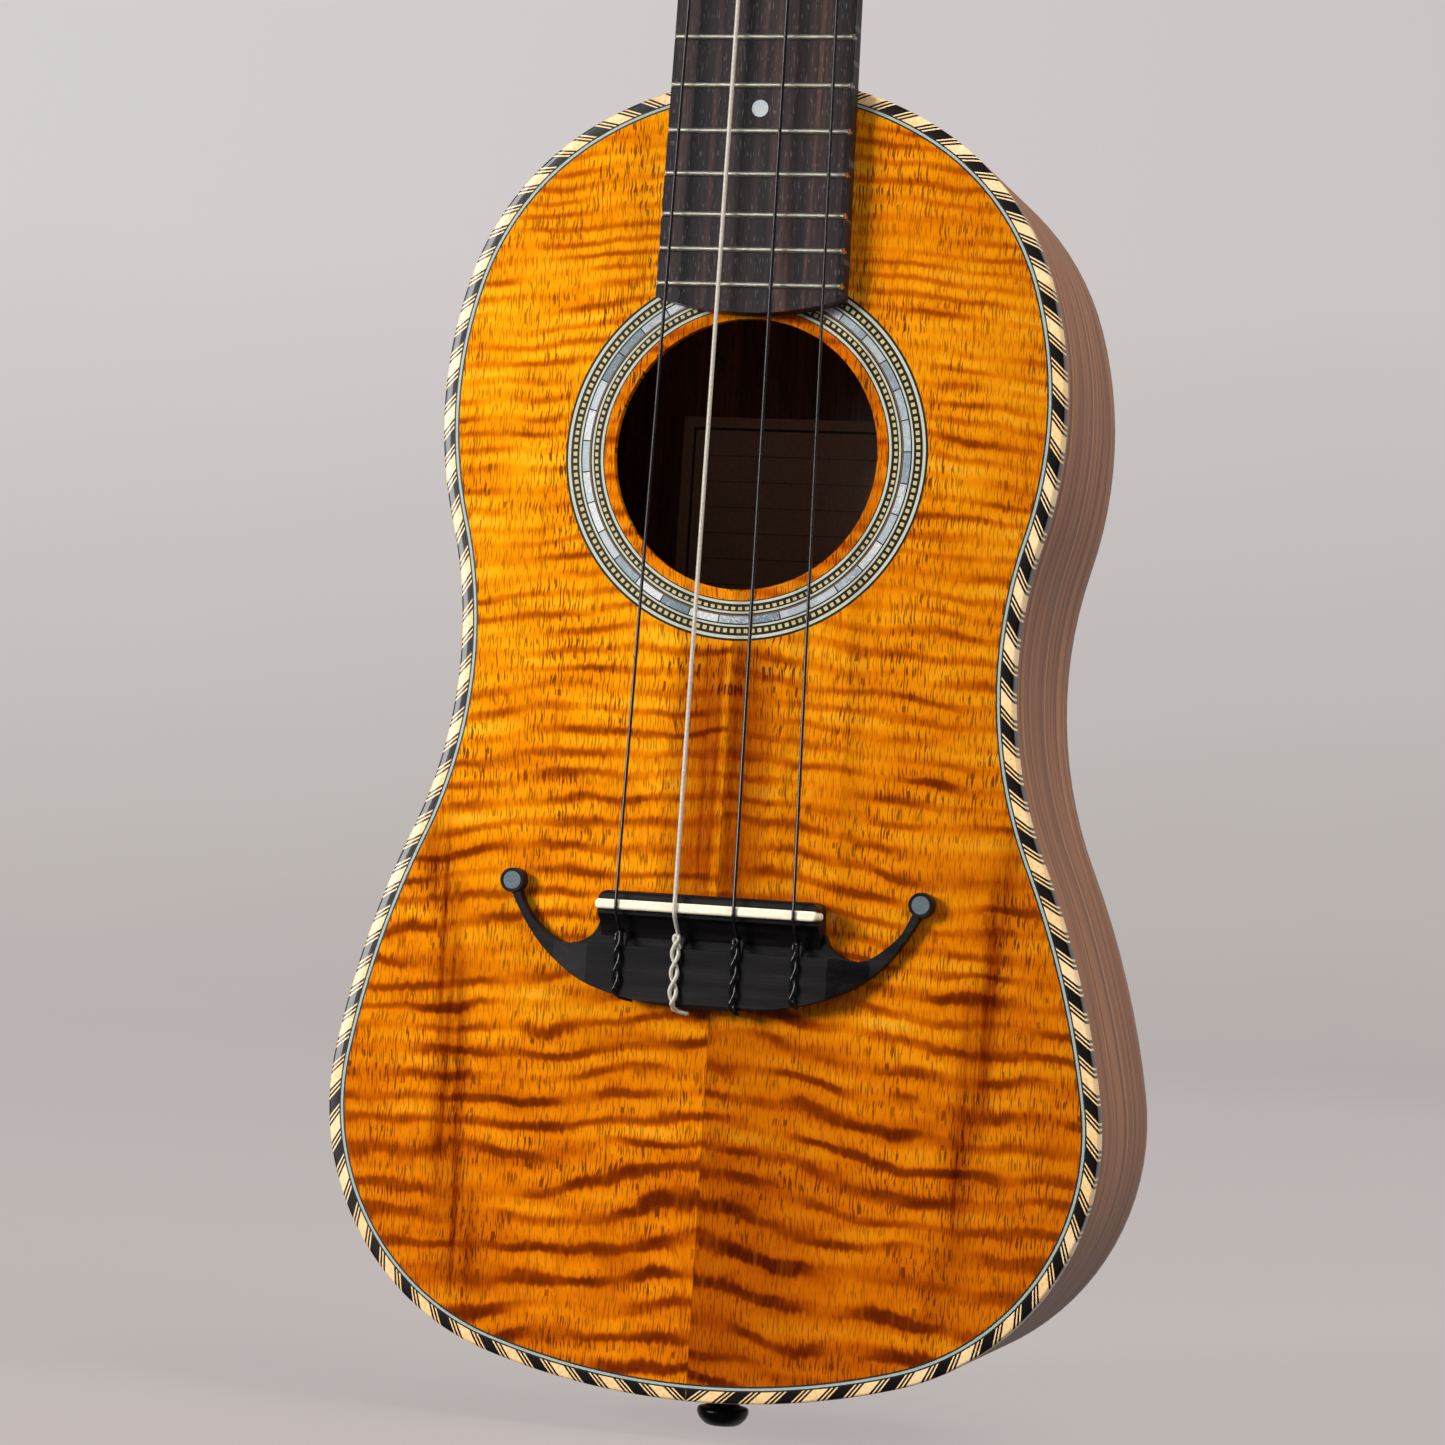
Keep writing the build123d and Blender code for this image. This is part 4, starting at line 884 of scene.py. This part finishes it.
def backdrop(floor_z):
    """One sheet of pale paper: a flat floor that curves up into a wall all round, a few metres away. Painted
    light: it glows, strongly to the camera and faintly to everything else, and is painted darker low down and
    on the right.
    """
    g = Graph("backdrop_paper")
    mottle = g.swing(g.noise(g.stretched(0.004, 0.004, 0.004), detail=4.0), 0.08)
    rise = g.add(g.mul(g.z, 0.001), mottle)
    # Painted shade and light: the paper's colour is darker low down and paler higher up.
    tone = g.ramp(rise, [
        (0.0, srgb(187, 180, 179)), (0.08, srgb(190, 184, 182)),
        (0.45, srgb(199, 194, 193)), (1.0, srgb(210, 205, 205)),
    ])
    # Painted shade: the sheet is painted darker towards the right.
    tone = g.mix(g.mul(g.step(g.x, -2600.0, 0.0), 0.9), tone, (0.88, 0.87, 0.86), "MULTIPLY")
    # Painted light: the sheet glows, strongly where the camera sees it and faintly to everything else.
    looked_at = g.node("ShaderNodeLightPath", {}, {}).outputs["Is Camera Ray"]
    g.finish(
        Base_Color=g.dimmed(tone, 0.2), Roughness=0.95, Specular_IOR_Level=0.0, Emission_Color=tone,
        Emission_Strength=g.add(0.2, g.mul(looked_at, 0.78)),
    )
    flat, bend, sides, rings = 2.2, 3.4, 96, 24
    curve = np.linspace(0.05, math.pi / 2, rings)
    profile = [(0.0, 0.0), (flat, 0.0)]
    profile += [(flat + bend * math.sin(a), bend - bend * math.cos(a)) for a in curve]
    points = [(0.0, 0.0, floor_z)]
    for radius, height in profile[1:]:
        points += [
            (radius * math.cos(a), radius * math.sin(a), floor_z + height)
            for a in np.linspace(0, 2 * math.pi, sides, endpoint=False)
        ]
    faces = [[0, 1 + k, 1 + (k + 1) % sides] for k in range(sides)]
    for row in range(len(profile) - 2):
        here, there = 1 + row * sides, 1 + (row + 1) * sides
        for k in range(sides):
            after = (k + 1) % sides
            faces.append([here + k, there + k, there + after, here + after])
    sheet = add_mesh("backdrop", points, faces, [g.material])
    sheet.visible_glossy = False
    sheet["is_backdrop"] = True


def studio():
    studio_world()
    middle = (0.0, 0.0, 0.18)
    soft_light("key", (-1.02, -1.16, 0.50), middle, (0.4, 0.4), 31.0, (1.0, 0.985, 0.96))
    soft_light("fill", (1.15, -0.36, 1.55), middle, (1.3, 1.6), 38.0, (1.0, 0.97, 0.94))
    soft_light("behind", (0.5, 1.7, 1.1), middle, (1.2, 1.2), 8.0)
    soft_light("softbox", (-1.02, -1.16, 0.50), middle, (0.8, 1.0), 18.0, mirrored=True)
    soft_light("sheen", (0.5, 1.7, 1.1), middle, (1.2, 1.2), 3.0, mirrored=True)
    backdrop(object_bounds()[0][2])
    view = bpy.context.scene.view_settings
    view.view_transform = "Standard"
    view.look = "None"


# --- giving each CAD node its material ------------------------------------------------------------
def paint(material, *names):
    for name in names:
        slots = NODES[name].data.materials
        slots.clear()
        slots.append(material)


def paint_wood():
    rose = (srgb(58, 30, 22), srgb(98, 56, 40), srgb(142, 88, 62))
    pale = (srgb(196, 158, 108), srgb(216, 182, 132), srgb(230, 202, 156))
    brown = (srgb(84, 44, 26), srgb(118, 68, 42), srgb(150, 94, 60))
    paint(koa("koa_top", 143.0), "soundboard")
    paint(koa("koa_head", 600.0), "head_veneer")
    paint(side_wood("side_rosewood"), "side_left", "side_right")
    paint(long_wood("back_rosewood", *rose, rough=0.3, coat=0.6, mirror=True, pitch=1.6), "back_plate")
    paint(long_wood("mahogany", *brown, rough=0.42, coat=0.25, edge_mm=0.6), "neck")
    paint(long_wood("block_mahogany", *brown, rough=0.6, coat=0.0), "neck_block", "tail_block")
    paint(long_wood("lining_wood", *brown, rough=0.65, coat=0.0), "top_linings", "back_linings")
    paint(long_wood("patch_wood", *brown, rough=0.65, coat=0.0, axis="x"), "bridge_patch")
    across = long_wood("spruce_x", *pale, rough=0.6, coat=0.0, pitch=0.6, axis="x")
    paint(across, "soundhole_braces", "back_braces")
    paint(long_wood("spruce_z", *pale, rough=0.6, coat=0.0, pitch=0.6), "fan_braces")
    paint(board_wood("fretboard_rosewood"), "fretboard")
    paint(ebony("ebony_bridge", axis="x"), "bridge")
    paint(ebony("ebony_turned", rough=0.3, coat=0.3), "strap_button", "heel_cap")


def paint_hardware():
    chrome = metal("chrome", (0.80, 0.80, 0.82), 0.12)
    steel = metal("steel", (0.56, 0.56, 0.58), 0.32)
    gear_brass = metal("gear_brass", (0.78, 0.58, 0.26), 0.28)
    black = plain("knob_black", srgb(20, 20, 22), 0.2, Coat_Weight=0.6, Coat_Roughness=0.08)
    paint(metal("fret_metal", (0.90, 0.86, 0.72), 0.42, (6.0, 0.2, 0.2), 0.1), "frets")
    paint(chrome, "tuner_plates", "tuner_bushings", "tuner_screws")
    paint(steel, "strap_button_screw", "neck_bolt")
    paint(gear_brass, "neck_insert")
    paint(bone("bone"), "saddle", "nut")
    paint(pearl("pearl_dots"), "position_dots")
    paint(pearl("blue_pearl_dots", depth=0.34), "bridge_dots")
    paint(paper("label_paper", *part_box("label")), "label")
    for name in "gcea":
        finish = wound_string("wound_" + name) if name == "c" else smooth_string("nylon_" + name)
        paint(finish, "string_" + name, "string_coil_" + name)
        string(name, finish)
        coil(name, finish)
        paint(chrome, "string_post_" + name)
        paint(steel, "worm_" + name)
        paint(gear_brass, "tuner_gear_" + name)
        paint(black, "tuner_knob_" + name)


def coil(name, finish):
    """Turns of string wound round a post, closer than they are wide."""
    low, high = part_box("string_coil_" + name)
    middle = (low + high) / 2
    radius = STRINGS[name][2]
    tilt = math.radians(HEAD_TILT)
    up = Vector((0.0, -math.cos(tilt), math.sin(tilt)))
    side = Vector((1.0, 0.0, 0.0))
    third = up.cross(side)
    turns, per_turn, reach = 3.2, 40, POST_WAIST_R + radius
    path = []
    for step in range(int(turns * per_turn) + 1):
        angle = 2 * math.pi * step / per_turn
        height = (step / per_turn - turns / 2) * 1.95 * radius
        path.append(middle + mm(reach) * (side * math.cos(angle) + third * math.sin(angle)) + mm(height) * up)
    points, faces = [], []
    tube(path, radius * MM, points, faces, 12)
    piece = add_mesh("coil_drawn_" + name, points, faces, [finish])
    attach(piece, "post_" + name)
    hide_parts("string_coil_" + name)


def build_edges_and_rosette():
    cream = maple("rope_cream")
    black = inlay_wood("rope_black", srgb(18, 13, 13))
    green_black = inlay_wood("purfling_dark", srgb(34, 42, 38))
    silver = inlay_wood("purfling_silver", srgb(172, 184, 178))
    rope_binding(cream, black)
    purfling(green_black, silver)
    rosette(
        inlay_wood("rosette_black", srgb(16, 15, 13)), inlay_wood("rosette_cream", srgb(206, 188, 128)),
        inlay_wood("rosette_white", srgb(196, 200, 182)), pearl("rosette_pearl_shell", True),
        inlay_wood("rosette_amber", srgb(120, 84, 52)),
    )


paint_wood()
paint_hardware()
build_edges_and_rosette()
studio()
camera()
